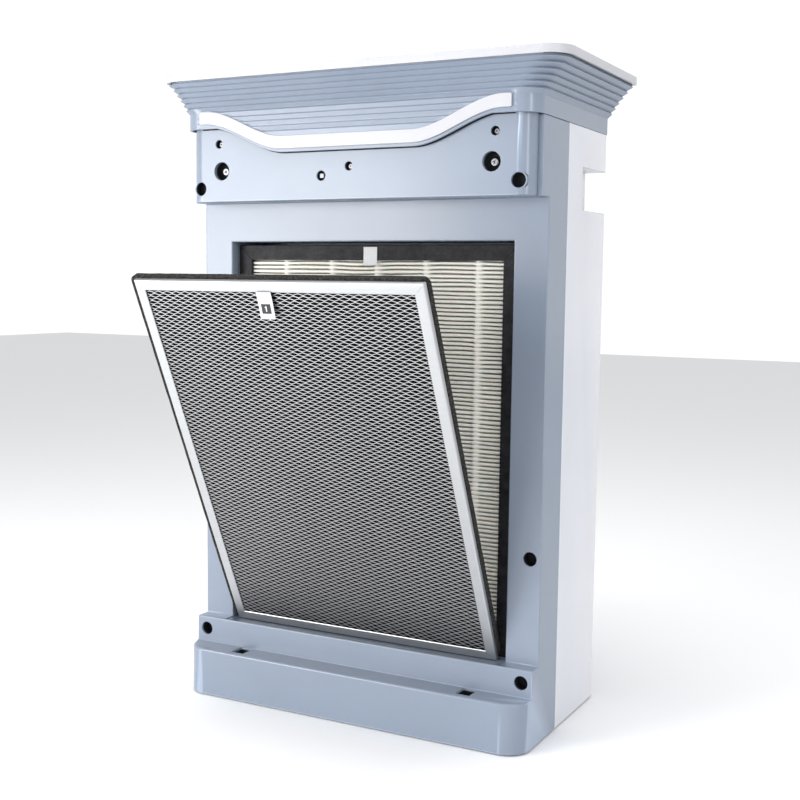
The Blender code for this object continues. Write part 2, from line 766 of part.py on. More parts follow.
def make_top_plate():
    half, front, rear = plate_edges()
    low = CROWN_TOP + GAP
    outline = rounded_outline(half, front, rear, PLATE_CORNER, REAR_CORNER, CORNER_STEPS)
    body = prism("top_plate", outline, low, OVERALL_HEIGHT, "XY")
    rim = WALL * 1.2
    corner = PLATE_CORNER - rim
    inner = rounded_outline(half - rim, front + rim, rear - rim, corner, REAR_CORNER, CORNER_STEPS)
    hollow = prism("plate_hollow", inner, low - WALL, OVERALL_HEIGHT - PLATE_SKIN, "XY")
    out_half, out_front, out_rear = outlet_edges()
    outlet = block("outlet", (-out_half, out_front, low), (out_half, out_rear, OVERALL_HEIGHT + WALL))
    window = block(
        "window_hole",
        (-WINDOW_WIDTH / 2, WINDOW_Y - WINDOW_DEPTH / 2, low),
        (WINDOW_WIDTH / 2, WINDOW_Y + WINDOW_DEPTH / 2, OVERALL_HEIGHT + WALL),
    )
    key_holes = [
        rod(f"key_hole_{n}", KEY_RADIUS + GAP, low, OVERALL_HEIGHT + WALL, place, "Z", 16)
        for n, place in enumerate(key_places())
    ]
    cut(body, hollow)
    cut(body, outlet, window, *key_holes)
    return paint(body, WHITE, 0.3)


def make_outlet_grille():
    half, front, rear = outlet_edges()
    low = (-half + GAP, front + GAP, CROWN_TOP + GAP)
    high = (half - GAP, rear - GAP, OVERALL_HEIGHT - GAP)
    body = block("outlet_grille", low, high)
    border = 2 * WALL
    depth = (high[1] - low[1] - border) / OUTLET_SLOT_COUNT
    length = high[0] - border
    slots = []
    for n in range(OUTLET_SLOT_COUNT):
        y = low[1] + border + n * depth
        for side in (-1, 1):
            ends = sorted((side * WALL, side * length))
            slots.append(block(
                f"outlet_slot_{n}_{side}",
                (ends[0], y, low[2] - WALL),
                (ends[1], y + depth - border, high[2] + WALL),
            ))
    cut(body, *slots)
    return paint(body, WHITE, 0.35)


def make_keys():
    names = ["power_key", "speed_key", "timer_key", "ioniser_key", "sleep_key"]
    skin = OVERALL_HEIGHT - PLATE_SKIN
    for name, (x, y) in zip(names, key_places()):
        top = OVERALL_HEIGHT + KEY_PROUD - skin
        flange = KEY_RADIUS + KEY_FLANGE
        under = -GAP - KEY_FLANGE_THICKNESS
        profile = [
            (0, top),
            (KEY_RADIUS - KEY_EDGE, top),
            (KEY_RADIUS, top - KEY_EDGE),
            (KEY_RADIUS, -GAP),
            (flange, -GAP),
            (flange, under),
            (KEY_STEM_RADIUS, under),
            (KEY_STEM_RADIUS, -KEY_STEM_LENGTH),
            (0, -KEY_STEM_LENGTH),
        ]
        paint(turned(name, profile, (x, y, skin), "Z", 16), (0.75, 0.76, 0.78), 0.4)


def make_window():
    low = (-WINDOW_WIDTH / 2 + GAP, WINDOW_Y - WINDOW_DEPTH / 2 + GAP, OVERALL_HEIGHT - PLATE_SKIN)
    high = (WINDOW_WIDTH / 2 - GAP, WINDOW_Y + WINDOW_DEPTH / 2 - GAP, OVERALL_HEIGHT - GAP)
    return paint(block("display_window", low, high), BLACK, 0.1)


def panel_board_top():
    """Upper face of the control board, under the pressed keys' stems."""
    return OVERALL_HEIGHT - PLATE_SKIN - KEY_STEM_LENGTH - KEY_TRAVEL - KEY_TO_BOARD


def make_control_board():
    top = panel_board_top()
    reach = 2 * KEY_PITCH + 2 * KEY_RADIUS
    low = (-reach, WINDOW_Y - WINDOW_DEPTH / 2, top - BOARD_THICKNESS)
    board = block("control_board", low, (reach, KEY_Y + 2 * KEY_RADIUS, top))
    wide, deep, tall = CHIP_SIZE
    chips = [
        block(
            f"chip_{n}",
            (x - wide / 2, CHIP_Y - deep / 2, low[2] - tall),
            (x + wide / 2, CHIP_Y + deep / 2, low[2] + BOARD_THICKNESS / 2),
        )
        for n, x in enumerate(CHIP_PLACES)
    ]
    return paint(join(board, *chips), (0.03, 0.16, 0.07), 0.5)


# ------------------------------------------------------------------ filters
def make_hepa():
    half = OPENING_HALF - HEPA_SIDE_CLEARANCE
    low = SILL_Z + GAP
    high = OPENING_TOP - HEPA_TOP_CLEARANCE
    back = HEPA_FRONT + HEPA_DEPTH
    body = frame("hepa_frame", half, low, high, HEPA_BORDER, HEPA_FRONT, back)
    pocket = block(
        "hepa_pocket",
        (-half + HEPA_WALL, HEPA_FRONT + HEPA_WALL, low + HEPA_WALL),
        (half - HEPA_WALL, back - HEPA_WALL, high - HEPA_WALL),
    )
    cut(body, pocket)
    paint(body, BLACK, 0.7)
    inset = HEPA_WALL + GAP
    media = block(
        "hepa_media",
        (-half + inset, HEPA_FRONT + inset, low + inset),
        (half - inset, back - inset, high - inset),
    )
    paint(media, (0.86, 0.85, 0.82), 0.9)
    gasket = frame("hepa_gasket", half - WALL, low + WALL, high - WALL, GASKET_WIDTH,
                   back + GAP, back + GAP + GASKET_THICKNESS)
    paint(gasket, (0.05, 0.05, 0.05), 0.95)
    top = high - HEPA_TAB_INSET
    tab = block(
        "hepa_tab",
        (-TAB_WIDTH / 2, HEPA_FRONT - GAP - TAB_THICKNESS, top - HEPA_TAB_LENGTH),
        (TAB_WIDTH / 2, HEPA_FRONT - GAP, top),
    )
    paint(tab, WHITE, 0.9)
    pivot = empty("hepa_pivot", (0, HEPA_FRONT, low))
    hang([body, media, gasket, tab], pivot)


def make_prefilter():
    front = PREFILTER_FOOT_Y
    low, high, half = PREFILTER_BOTTOM, PREFILTER_TOP, PREFILTER_HALF
    metal_back = front + METAL_DEPTH
    metal = block("prefilter_frame", (-half, front, low), (half, metal_back, high))
    face = block(
        "prefilter_face",
        (-half + METAL_BORDER, front - WALL, low + METAL_BORDER),
        (half - METAL_BORDER, front + WALL, high - METAL_BORDER),
    )
    channel = block(
        "prefilter_channel",
        (-half + METAL_SKIN, front + METAL_SKIN, low + METAL_SKIN),
        (half - METAL_SKIN, metal_back + WALL, high - METAL_SKIN),
    )
    cut(metal, face, channel)
    paint(metal, (0.75, 0.76, 0.77), 0.3, 1.0)
    back = front + PREFILTER_THICKNESS
    inset = METAL_SKIN + GAP
    screen_front = front + inset
    screen = block(
        "prefilter_mesh",
        (-half + inset, screen_front, low + inset),
        (half - inset, screen_front + SCREEN_THICKNESS, high - inset),
    )
    paint(screen, (0.7, 0.7, 0.7), 0.35, 1.0)
    core_edge = METAL_BORDER + GAP
    foam_half = half + FOAM_OVERHANG
    foam_top = high + FOAM_TOP_OVERHANG
    foam = block(
        "prefilter_foam", (-foam_half - FOAM_SHIFT, metal_back + GAP, low), (foam_half - FOAM_SHIFT, back, foam_top))
    hole = block(
        "foam_window",
        (-half + METAL_BORDER, metal_back - WALL, low + METAL_BORDER),
        (half - METAL_BORDER, back + WALL, high - METAL_BORDER),
    )
    cut(foam, hole)
    paint(foam, (0.03, 0.03, 0.03), 0.95)
    rear_screen = block(
        "prefilter_rear_mesh",
        (-half + core_edge, back - SCREEN_THICKNESS, low + core_edge),
        (half - core_edge, back, high - core_edge),
    )
    paint(rear_screen, (0.12, 0.12, 0.12), 0.6)
    core = block(
        "carbon_core",
        (-half + core_edge, screen_front + SCREEN_THICKNESS + GAP, low + core_edge),
        (half - core_edge, back - SCREEN_THICKNESS - GAP, high - core_edge),
    )
    paint(core, (0.015, 0.015, 0.015), 0.95)
    tab_top = high - METAL_BORDER + PREFILTER_TAB_OVERLAP
    tab = block(
        "prefilter_tab",
        (PREFILTER_TAB_X - TAB_WIDTH / 2, front - GAP - TAB_THICKNESS, tab_top - PREFILTER_TAB_LENGTH),
        (PREFILTER_TAB_X + TAB_WIDTH / 2, front - GAP, tab_top),
    )
    paint(tab, WHITE, 0.9)
    pivot = empty("prefilter_pivot", (0, front, low))
    pivot.rotation_euler.x = PREFILTER_LEAN
    hang([metal, face, channel, screen, foam, hole, rear_screen, core, tab], pivot)


def make_filter_bay():
    """The tray behind the opening that the main filter stands in, with the fan's round intake."""
    front = REVEAL_DEPTH + GAP
    back = BAY_REAR + WALL
    body = opening_box("filter_bay", WALL, front, back)
    cut(
        body,
        opening_box("bay_hollow", 0, front - WALL, BAY_REAR),
        rod("bay_intake", INTAKE_RADIUS, BAY_REAR - WALL, back + WALL, (0, FAN_Z), steps=32),
    )
    paint(body, (0.36, 0.40, 0.48), 0.45)
    ring_front = BAY_REAR + GAP
    ring_back = ring_front + GUARD_BAR
    outer = INTAKE_RADIUS - GAP
    guard = turned(
        "intake_guard",
        ring_profile(outer - 2 * GUARD_BAR, outer, -ring_front, -ring_back),
        (0, 0, FAN_Z), "Y", 32,
    )
    extra = []
    for n in range(3):
        reach = outer - GUARD_BAR
        bar = block(
            f"guard_bar_{n}",
            (-reach, ring_front + GAP, -GUARD_BAR),
            (reach, ring_back - GAP, GUARD_BAR),
        )
        bar.location.z = FAN_Z
        bar.rotation_euler.y = math.radians(60 * n)
        extra.append(bar)
    join(guard, *extra)
    paint(guard, (0.36, 0.40, 0.48), 0.45)


# ------------------------------------------------------------------ fan
def volute(margin, top, steps=30):
    """The scroll's outline seen from the front: a spiral, then a duct that rises on the right."""
    start = IMPELLER_RADIUS + VOLUTE_START
    points = []
    for n in range(steps + 1):
        share = n / steps
        angle = TONGUE_ANGLE + (2 * math.pi - TONGUE_ANGLE) * share
        radius = start + VOLUTE_GROWTH * share + margin
        points.append((radius * math.cos(angle), FAN_Z + radius * math.sin(angle)))
    right = VOLUTE_END + margin
    left = start * math.cos(TONGUE_ANGLE) - margin
    return points + [(right, top), (left, top)]


def make_fan():
    top = CASE_TOP - 2 * WALL
    scroll = prism("fan_scroll", volute(SCROLL_WALL, top), SCROLL_FRONT, SCROLL_BACK, "XZ")
    cut(
        scroll,
        prism("scroll_hollow", volute(0, top + WALL), SCROLL_FRONT - WALL, SCROLL_BACK - SCROLL_WALL, "XZ"),
        rod("motor_hole", MOTOR_RADIUS + 2 * GAP, SCROLL_BACK - 2 * WALL, SCROLL_BACK + WALL,
            (0, FAN_Z), steps=32),
    )
    paint(scroll, WHITE, 0.5)
    cover = prism("fan_cover", volute(SCROLL_WALL, top), FAN_FRONT, FAN_FRONT + SCROLL_WALL, "XZ")
    cut(cover, rod("fan_eye", INTAKE_RADIUS, FAN_FRONT - WALL, SCROLL_FRONT + WALL, (0, FAN_Z), steps=32))
    paint(cover, WHITE, 0.5)


def make_impeller():
    front, back = -IMPELLER_FRONT, -IMPELLER_BACK
    inner = IMPELLER_RADIUS - BLADE_DEPTH
    bore = SHAFT_RADIUS + GAP / 3
    hub_front = back + HUB_LENGTH
    profile = [
        (inner, front),
        (IMPELLER_RADIUS, front),
        (IMPELLER_RADIUS, back),
        (bore, back),
        (bore, hub_front),
        (HUB_RADIUS, hub_front),
        (HUB_RADIUS, back + 2 * BACK_DISC),
        (inner - HUB_LENGTH, back + BACK_DISC),
        (inner, back + BACK_DISC),
    ]
    wheel = turned("impeller", profile, (0, 0, FAN_Z), "Y", 2 * BLADE_COUNT)
    width = 2 * math.pi * (IMPELLER_RADIUS - BLADE_DEPTH / 2) / BLADE_COUNT * (1 - BLADE_SHARE)
    slots = []
    for n in range(BLADE_COUNT):
        slot = block(
            f"blade_slot_{n}",
            (-width / 2, IMPELLER_FRONT + BLADE_RIM, -BLADE_DEPTH),
            (width / 2, IMPELLER_BACK - BACK_DISC - GAP, BLADE_DEPTH),
        )
        angle = 2 * math.pi * (n + 0.25) / BLADE_COUNT
        middle = IMPELLER_RADIUS - BLADE_DEPTH / 2
        slot.location = (middle * math.sin(angle), 0, FAN_Z + middle * math.cos(angle))
        slot.rotation_euler.y = angle + BLADE_ANGLE
        slots.append(slot)
    cut(wheel, *slots)
    paint(wheel, (0.15, 0.15, 0.16), 0.5)
    shaft_front = IMPELLER_BACK - SHAFT_AHEAD
    shaft = rod("motor_shaft", SHAFT_RADIUS, shaft_front, IMPELLER_BACK + SHAFT_BEHIND, (0, FAN_Z), steps=20)
    paint(shaft, (0.6, 0.6, 0.6), 0.25, 1.0)
    nut = turned(
        "impeller_nut",
        ring_profile((SHAFT_RADIUS + GAP) / math.cos(math.pi / 6), HUB_RADIUS * NUT_SHARE,
                     -shaft_front - GAP, -shaft_front - GAP - NUT_THICKNESS),
        (0, 0, FAN_Z), "Y", 6,
    )
    paint(nut, (0.6, 0.6, 0.6), 0.3, 1.0)


def make_motor():
    front = IMPELLER_BACK + FAN_RUNNING_GAP / 2
    back = REAR_INNER - MOTOR_REAR_ROOM
    bore = SHAFT_RADIUS + BUSH_WALL
    face = MOTOR_RADIUS * MOTOR_FACE_SHARE
    profile = [
        (0, -front),
        (face, -front),
        (MOTOR_RADIUS, -front - MOTOR_EDGE),
        (MOTOR_RADIUS, -back + MOTOR_EDGE),
        (face, -back),
        (0, -back),
    ]
    body = turned("motor_body", profile, (0, 0, FAN_Z), "Y", 28)
    bore_end = IMPELLER_BACK + SHAFT_BEHIND + BORE_END_ROOM
    cut(body, rod("motor_bore", bore + GAP, front - WALL, bore_end, (0, FAN_Z), steps=20))
    paint(body, (0.35, 0.36, 0.37), 0.4, 0.9)
    bush = turned(
        "motor_bush",
        ring_profile(SHAFT_RADIUS + GAP / 3, bore, -front - GAP, -front - BUSH_LENGTH),
        (0, 0, FAN_Z), "Y", 20,
    )
    paint(bush, (0.55, 0.42, 0.20), 0.35, 1.0)
    plate_front = SCROLL_BACK + GAP
    bracket = turned(
        "motor_bracket",
        ring_profile(MOTOR_RADIUS + GAP, MOTOR_RADIUS + BRACKET_WIDTH,
                     -plate_front, -plate_front - BRACKET_THICKNESS),
        (0, 0, FAN_Z), "Y", 32,
    )
    arms = []
    for n in range(3):
        arm = block(
            f"bracket_arm_{n}",
            (MOTOR_RADIUS + BRACKET_ARM[0], plate_front + GAP / 2, -BRACKET_ARM_HALF),
            (MOTOR_RADIUS + BRACKET_ARM[1], plate_front + BRACKET_THICKNESS - GAP / 2, BRACKET_ARM_HALF),
        )
        arm.location.z = FAN_Z
        arm.rotation_euler.y = math.radians(120 * n + 30)
        arms.append(arm)
    join(bracket, *arms)
    paint(bracket, (0.6, 0.6, 0.6), 0.35, 1.0)


# ------------------------------------------------------------------ base and electrics
def make_base():
    inset = WALL + GAP
    front = -PLINTH_DEPTH + inset
    back = CASE_DEPTH - inset
    half = HALF - inset
    outline = rounded_outline(half, front, back, PLINTH_CORNER, REAR_CORNER)
    plate = prism("base_plate", outline, BASE_Z, INNER_FLOOR, "XY")
    paint(plate, (0.36, 0.40, 0.48), 0.5)
    x = half - FOOT_INSET
    for name, sx, y in (
        ("foot_front_left", -1, front + FOOT_INSET),
        ("foot_front_right", 1, front + FOOT_INSET),
        ("foot_rear_left", -1, back - FOOT_INSET),
        ("foot_rear_right", 1, back - FOOT_INSET),
    ):
        profile = [(0, FOOT_HEIGHT), (FOOT_RADIUS, FOOT_HEIGHT), (FOOT_RADIUS, FOOT_EDGE),
                   (FOOT_RADIUS - FOOT_EDGE, 0), (0, 0)]
        paint(turned(name, profile, (sx * x, y, 0), "Z", 20), (0.04, 0.04, 0.04), 0.9)


def standing_block(name, sizes, bottom):
    """A component given as x, y, width, depth and height, standing on a level."""
    x, y, wide, deep, tall = sizes
    return block(name, (x, y, bottom), (x + wide, y + deep, bottom + tall))


def make_electrics():
    shelf = INNER_FLOOR + GAP
    board_z = shelf + POST_HEIGHT
    into = board_z + BOARD_THICKNESS / 2
    board = block("power_board", (*BOARD_LOW, board_z), (*BOARD_HIGH, board_z + BOARD_THICKNESS))
    corners = [
        (x, y)
        for x in (BOARD_LOW[0] + POST_INSET, BOARD_HIGH[0] - POST_INSET)
        for y in (BOARD_LOW[1] + POST_INSET, BOARD_HIGH[1] - POST_INSET)
    ]
    join(
        board,
        standing_block("transformer", TRANSFORMER, into),
        standing_block("heat_sink", HEAT_SINK, into),
        standing_block("relay", RELAY, into),
        rod("capacitor", CAPACITOR_RADIUS, into, into + CAPACITOR_HEIGHT, CAPACITOR_PLACE, "Z"),
        *[rod(f"post_{n}", POST_RADIUS, shelf, into, place, "Z", 12) for n, place in enumerate(corners)],
    )
    paint(board, (0.03, 0.16, 0.07), 0.5)
    half_w = INLET_WIDTH / 2 - GAP
    half_h = INLET_HEIGHT / 2 - GAP
    back = CASE_DEPTH + INLET_PROUD
    inlet = block(
        "mains_inlet",
        (INLET_X - half_w, CASE_DEPTH - INLET_DEPTH, INLET_Z - half_h),
        (INLET_X + half_w, back, INLET_Z + half_h),
    )
    socket = block(
        "inlet_socket",
        (INLET_X - half_w + INLET_WALL, CASE_DEPTH - INLET_DEPTH + INLET_BACK, INLET_Z - half_h + INLET_WALL),
        (INLET_X + half_w - INLET_WALL, back + WALL, INLET_Z + half_h - INLET_WALL),
    )
    cut(inlet, socket)
    paint(inlet, BLACK, 0.4)


def smooth_route(stops):
    """Points along a smooth curve through the stops, one about every LEAD_STEP."""
    stops = [Vector(stop) for stop in stops]
    ends = [2 * stops[0] - stops[1], *stops, 2 * stops[-1] - stops[-2]]
    points = []
    for n in range(len(stops) - 1):
        before, first, second, after = ends[n:n + 4]
        count = max(2, round((second - first).length / LEAD_STEP))
        for i in range(count):
            t = i / count
            points.append(0.5 * (
                2 * first + (second - before) * t
                + (2 * before - 5 * first + 4 * second - after) * t * t
                + (3 * first - before - 3 * second + after) * t * t * t
            ))
    return points + [stops[-1]]


def make_lead(name, stops):
    """An insulated lead, clipped along its whole route inside the housings."""
    points = smooth_route(stops)
    curve = bpy.data.curves.new(name, "CURVE")
    curve.dimensions = "3D"
    curve.bevel_depth = LEAD_RADIUS
    curve.bevel_resolution = 1
    curve.use_fill_caps = True
    spline = curve.splines.new("POLY")
    spline.points.add(len(points) - 1)
    for slot, point in zip(spline.points, points):
        slot.co = (*point, 1.0)
    paint(add(name, curve), (0.05, 0.05, 0.05), 0.6)


def make_leads():
    on_board = INNER_FLOOR + 2 * GAP + POST_HEIGHT + BOARD_THICKNESS + LEAD_RADIUS
    behind = (SCROLL_BACK + REAR_INNER) / 2
    beside = (INNER_HALF + OPENING_HALF + WALL) / 2
    rise_y = SEAM_Y + LEAD_CLEARANCE + LEAD_RADIUS
    plug_x, plug_y = BOARD_HIGH[0] - 2 * POST_INSET, BOARD_HIGH[1] - 2 * POST_INSET
    make_lead("motor_lead", [
        (plug_x, plug_y, on_board),
        (plug_x, plug_y + LEAD_BEND / 2, on_board + LEAD_BEND / 3),
        (plug_x - LEAD_BEND / 3, behind, on_board + LEAD_BEND),
        (LEAD_BEND, behind, (on_board + FAN_Z) / 2),
        (0.0, behind, FAN_Z - MOTOR_RADIUS - 2 * LEAD_RADIUS),
    ])
    panel = panel_board_top() - BOARD_THICKNESS
    plug_x = BOARD_LOW[0] + POST_INSET / 2 + LEAD_RADIUS
    make_lead("control_lead", [
        (plug_x, LEAD_PLUG_Y, on_board),
        (plug_x - LEAD_BEND, LEAD_PLUG_Y, on_board + LEAD_BEND / 3),
        (-beside + LEAD_BEND / 3, (LEAD_PLUG_Y + rise_y) / 2, on_board + LEAD_BEND),
        (-beside, rise_y, on_board + 3 * LEAD_BEND),
        (-beside, rise_y, (on_board + CASE_TOP) / 2),
        (-beside, rise_y, CASE_TOP - LEAD_BEND),
        (-beside + LEAD_BEND / 2, rise_y, CASE_TOP + 2 * LEAD_RADIUS),
        (-2 * KEY_PITCH - LEAD_BEND, (rise_y + KEY_Y) / 2, panel - LEAD_BEND / 3),
        (-2 * KEY_PITCH, KEY_Y, panel - LEAD_RADIUS - GAP),
    ])


def make_door_switch():
    z = BAND_BOTTOM + SWITCH_RISE
    back = -CHEEK_DEPTH - GAP
    front = -BAND_DEPTH + WALL + SWITCH_SET_BACK
    half_w, half_h = SWITCH_BODY[0] / 2, SWITCH_BODY[1] / 2
    body = block("door_switch", (SWITCH_X - half_w, front, z - half_h), (SWITCH_X + half_w, back, z + half_h))
    room = PLUNGER_HALF + GAP
    bore = block(
        "plunger_bore",
        (SWITCH_X - room, front - WALL, z - room),
        (SWITCH_X + room, back - SWITCH_END, z + room),
    )
    cut(body, bore)
    paint(body, (0.08, 0.08, 0.08), 0.5)
    plunger = block(
        "switch_plunger",
        (SWITCH_X - PLUNGER_HALF, -BAND_DEPTH + PLUNGER_INSET, z - PLUNGER_HALF),
        (SWITCH_X + PLUNGER_HALF, front + PLUNGER_HELD, z + PLUNGER_HALF),
    )
    paint(plunger, WHITE, 0.4)


def make_ioniser():
    wide, deep, tall = IONISER_SIZE
    x = VOLUTE_END - IONISER_SIDE
    y = SCROLL_FRONT + IONISER_FRONT
    top = CASE_TOP - IONISER_DROP + tall / 2
    body = block("ioniser", (x - wide, y, top - tall), (x, y + deep, top))
    profile = [(0, NEEDLE_LENGTH), (NEEDLE_RADIUS, 0), (NEEDLE_RADIUS, -NEEDLE_ROOT), (0, -NEEDLE_ROOT)]
    needles = [
        turned(f"needle_{n}", profile, (x - wide / 2, y + place, top), "Z", 8)
        for n, place in enumerate(NEEDLE_PLACES)
    ]
    return paint(join(body, *needles), (0.8, 0.8, 0.8), 0.4)


def main():
    start()
    make_front_housing()
    make_rear_housing()
    make_upper_cover()
    make_screws()
    make_crown()
    make_wave_trim()
    make_top_plate()
    make_outlet_grille()
    make_keys()
    make_window()
    make_control_board()
    make_hepa()
    make_prefilter()
    make_filter_bay()
    make_fan()
    make_impeller()
    make_motor()
    make_base()
    make_electrics()
    make_leads()
    make_door_switch()
    make_ioniser()
    bpy.context.view_layer.update()


main()
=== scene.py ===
"""The looks of the air purifier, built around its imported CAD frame.  Metres, on the CAD's own axes."""
import json
import math

import bmesh
import bpy
from mathutils import Matrix, Vector, noise


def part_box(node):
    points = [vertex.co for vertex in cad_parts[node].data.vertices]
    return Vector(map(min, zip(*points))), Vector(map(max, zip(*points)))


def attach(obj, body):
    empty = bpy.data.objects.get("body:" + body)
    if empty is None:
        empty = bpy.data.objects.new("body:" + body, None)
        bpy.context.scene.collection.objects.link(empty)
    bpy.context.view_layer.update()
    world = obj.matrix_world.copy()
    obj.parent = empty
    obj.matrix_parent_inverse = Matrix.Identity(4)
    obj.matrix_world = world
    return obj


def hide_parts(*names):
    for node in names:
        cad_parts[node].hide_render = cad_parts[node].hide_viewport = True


NOISE_SEED = 1
noise.seed_set(NOISE_SEED)  # noise_vector, which roughens the foam, otherwise changes from run to run
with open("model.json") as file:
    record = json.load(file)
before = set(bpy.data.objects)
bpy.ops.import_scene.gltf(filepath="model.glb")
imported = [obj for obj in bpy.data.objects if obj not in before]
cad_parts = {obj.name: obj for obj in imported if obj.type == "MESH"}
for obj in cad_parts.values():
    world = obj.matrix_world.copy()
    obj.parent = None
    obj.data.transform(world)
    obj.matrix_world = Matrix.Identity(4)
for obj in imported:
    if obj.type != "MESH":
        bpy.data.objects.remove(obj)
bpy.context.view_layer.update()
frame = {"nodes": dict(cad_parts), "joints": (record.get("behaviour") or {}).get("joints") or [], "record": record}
nodes = frame["nodes"]
joints = {j["name"]: j for j in frame["joints"]}


# ------------------------------------------------------------------ camera, floor and light
CAMERA_AT = Vector((0.58544, -1.03552, 0.43389))
CAMERA_YAW = math.radians(27.736)
CAMERA_PITCH = math.radians(-5.673)
CAMERA_ROLL = math.radians(0.687)
CAMERA_LENS = 54.66
SENSOR_WIDTH = 36.0
FLOOR_HALF = 6.0
WORLD_STRENGTH = 1.06
WORLD_STOPS = ((0.26, (1, 1, 1, 1)), (0.62, (0.60, 0.61, 0.63, 1)))  # by the direction's height
SOFTBOX_WATTS = 3.6  # for a radiance of 1 over a square metre
AIM = (-0.02, 0, 0.35)
SOFTBOXES = (  # name, place, target, width, height, radiance, colour
    ("left_softbox", (-0.93, -1.30, 0.34), AIM, 0.76, 0.66, 9.6, (1.0, 0.995, 0.985)),
    ("left_upper_softbox", (-0.95, -1.32, 0.80), AIM, 0.76, 0.24, 7.0, (1, 1, 1)),
    ("right_softbox", (1.48, -0.80, 0.62), (0.1, 0.05, 0.42), 0.26, 1.0, 7.0, (0.97, 0.985, 1.0)),
    ("top_softbox", (0.0, -0.25, 1.75), (0, 0, 0.3), 0.8, 0.8, 6.0, (1, 1, 1)),
)


def make_camera():
    data = bpy.data.cameras.new("camera")
    data.lens = CAMERA_LENS
    data.sensor_width = SENSOR_WIDTH
    camera = bpy.data.objects.new("camera", data)
    bpy.context.scene.collection.objects.link(camera)
    a, e, r = CAMERA_YAW, CAMERA_PITCH, CAMERA_ROLL
    ahead = Vector((-math.sin(a) * math.cos(e), math.cos(a) * math.cos(e), math.sin(e)))
    right = Vector((math.cos(a), math.sin(a), 0))
    up = right.cross(ahead)
    right, up = math.cos(r) * right + math.sin(r) * up, math.cos(r) * up - math.sin(r) * right
    turn = Matrix((right, up, -ahead)).transposed()
    camera.matrix_world = Matrix.Translation(CAMERA_AT) @ turn.to_4x4()
    bpy.context.scene.camera = camera


def make_floor():
    size = FLOOR_HALF
    mesh = bpy.data.meshes.new("floor")
    mesh.from_pydata([(-size, -size, 0), (size, -size, 0), (size, size, 0), (-size, size, 0)], [], [(0, 1, 2, 3)])
    floor = bpy.data.objects.new("floor", mesh)
    bpy.context.scene.collection.objects.link(floor)
    material = bpy.data.materials.new("studio_floor")
    material.use_nodes = True
    shader = material.node_tree.nodes["Principled BSDF"]
    shader.inputs["Base Color"].default_value = (0.95, 0.95, 0.95, 1)
    shader.inputs["Roughness"].default_value = 0.9
    shader.inputs["Specular IOR Level"].default_value = 0.1
    mesh.materials.append(material)


def area_light(name, at, target, width, height, radiance, colour):
    """A softbox whose power follows its radiance and its area, to the nearest 0.01 square metres."""
    data = bpy.data.lights.new(name, "AREA")
    data.shape = "RECTANGLE"
    data.size, data.size_y = width, height
    data.energy = radiance * SOFTBOX_WATTS * round(width * height, 2)
    data.color = colour
    light = bpy.data.objects.new(name, data)
    bpy.context.scene.collection.objects.link(light)
    light.location = at
    light.rotation_euler = (Vector(target) - Vector(at)).to_track_quat("-Z", "Y").to_euler()


def make_light():
    world = bpy.data.worlds.new("studio")
    bpy.context.scene.world = world
    world.use_nodes = True
    tree = world.node_tree
    back = tree.nodes["Background"]
    place = tree.nodes.new("ShaderNodeTexCoord")
    split = tree.nodes.new("ShaderNodeSeparateXYZ")
    ramp = tree.nodes.new("ShaderNodeValToRGB")
    for element, (position, colour) in zip(ramp.color_ramp.elements, WORLD_STOPS):
        element.position = position
        element.color = colour
    tree.links.new(place.outputs["Generated"], split.inputs["Vector"])
    tree.links.new(split.outputs["Z"], ramp.inputs["Fac"])
    tree.links.new(ramp.outputs["Color"], back.inputs["Color"])
    back.inputs["Strength"].default_value = WORLD_STRENGTH
    bpy.context.scene.view_settings.view_transform = "Standard"
    for softbox in SOFTBOXES:
        area_light(*softbox)


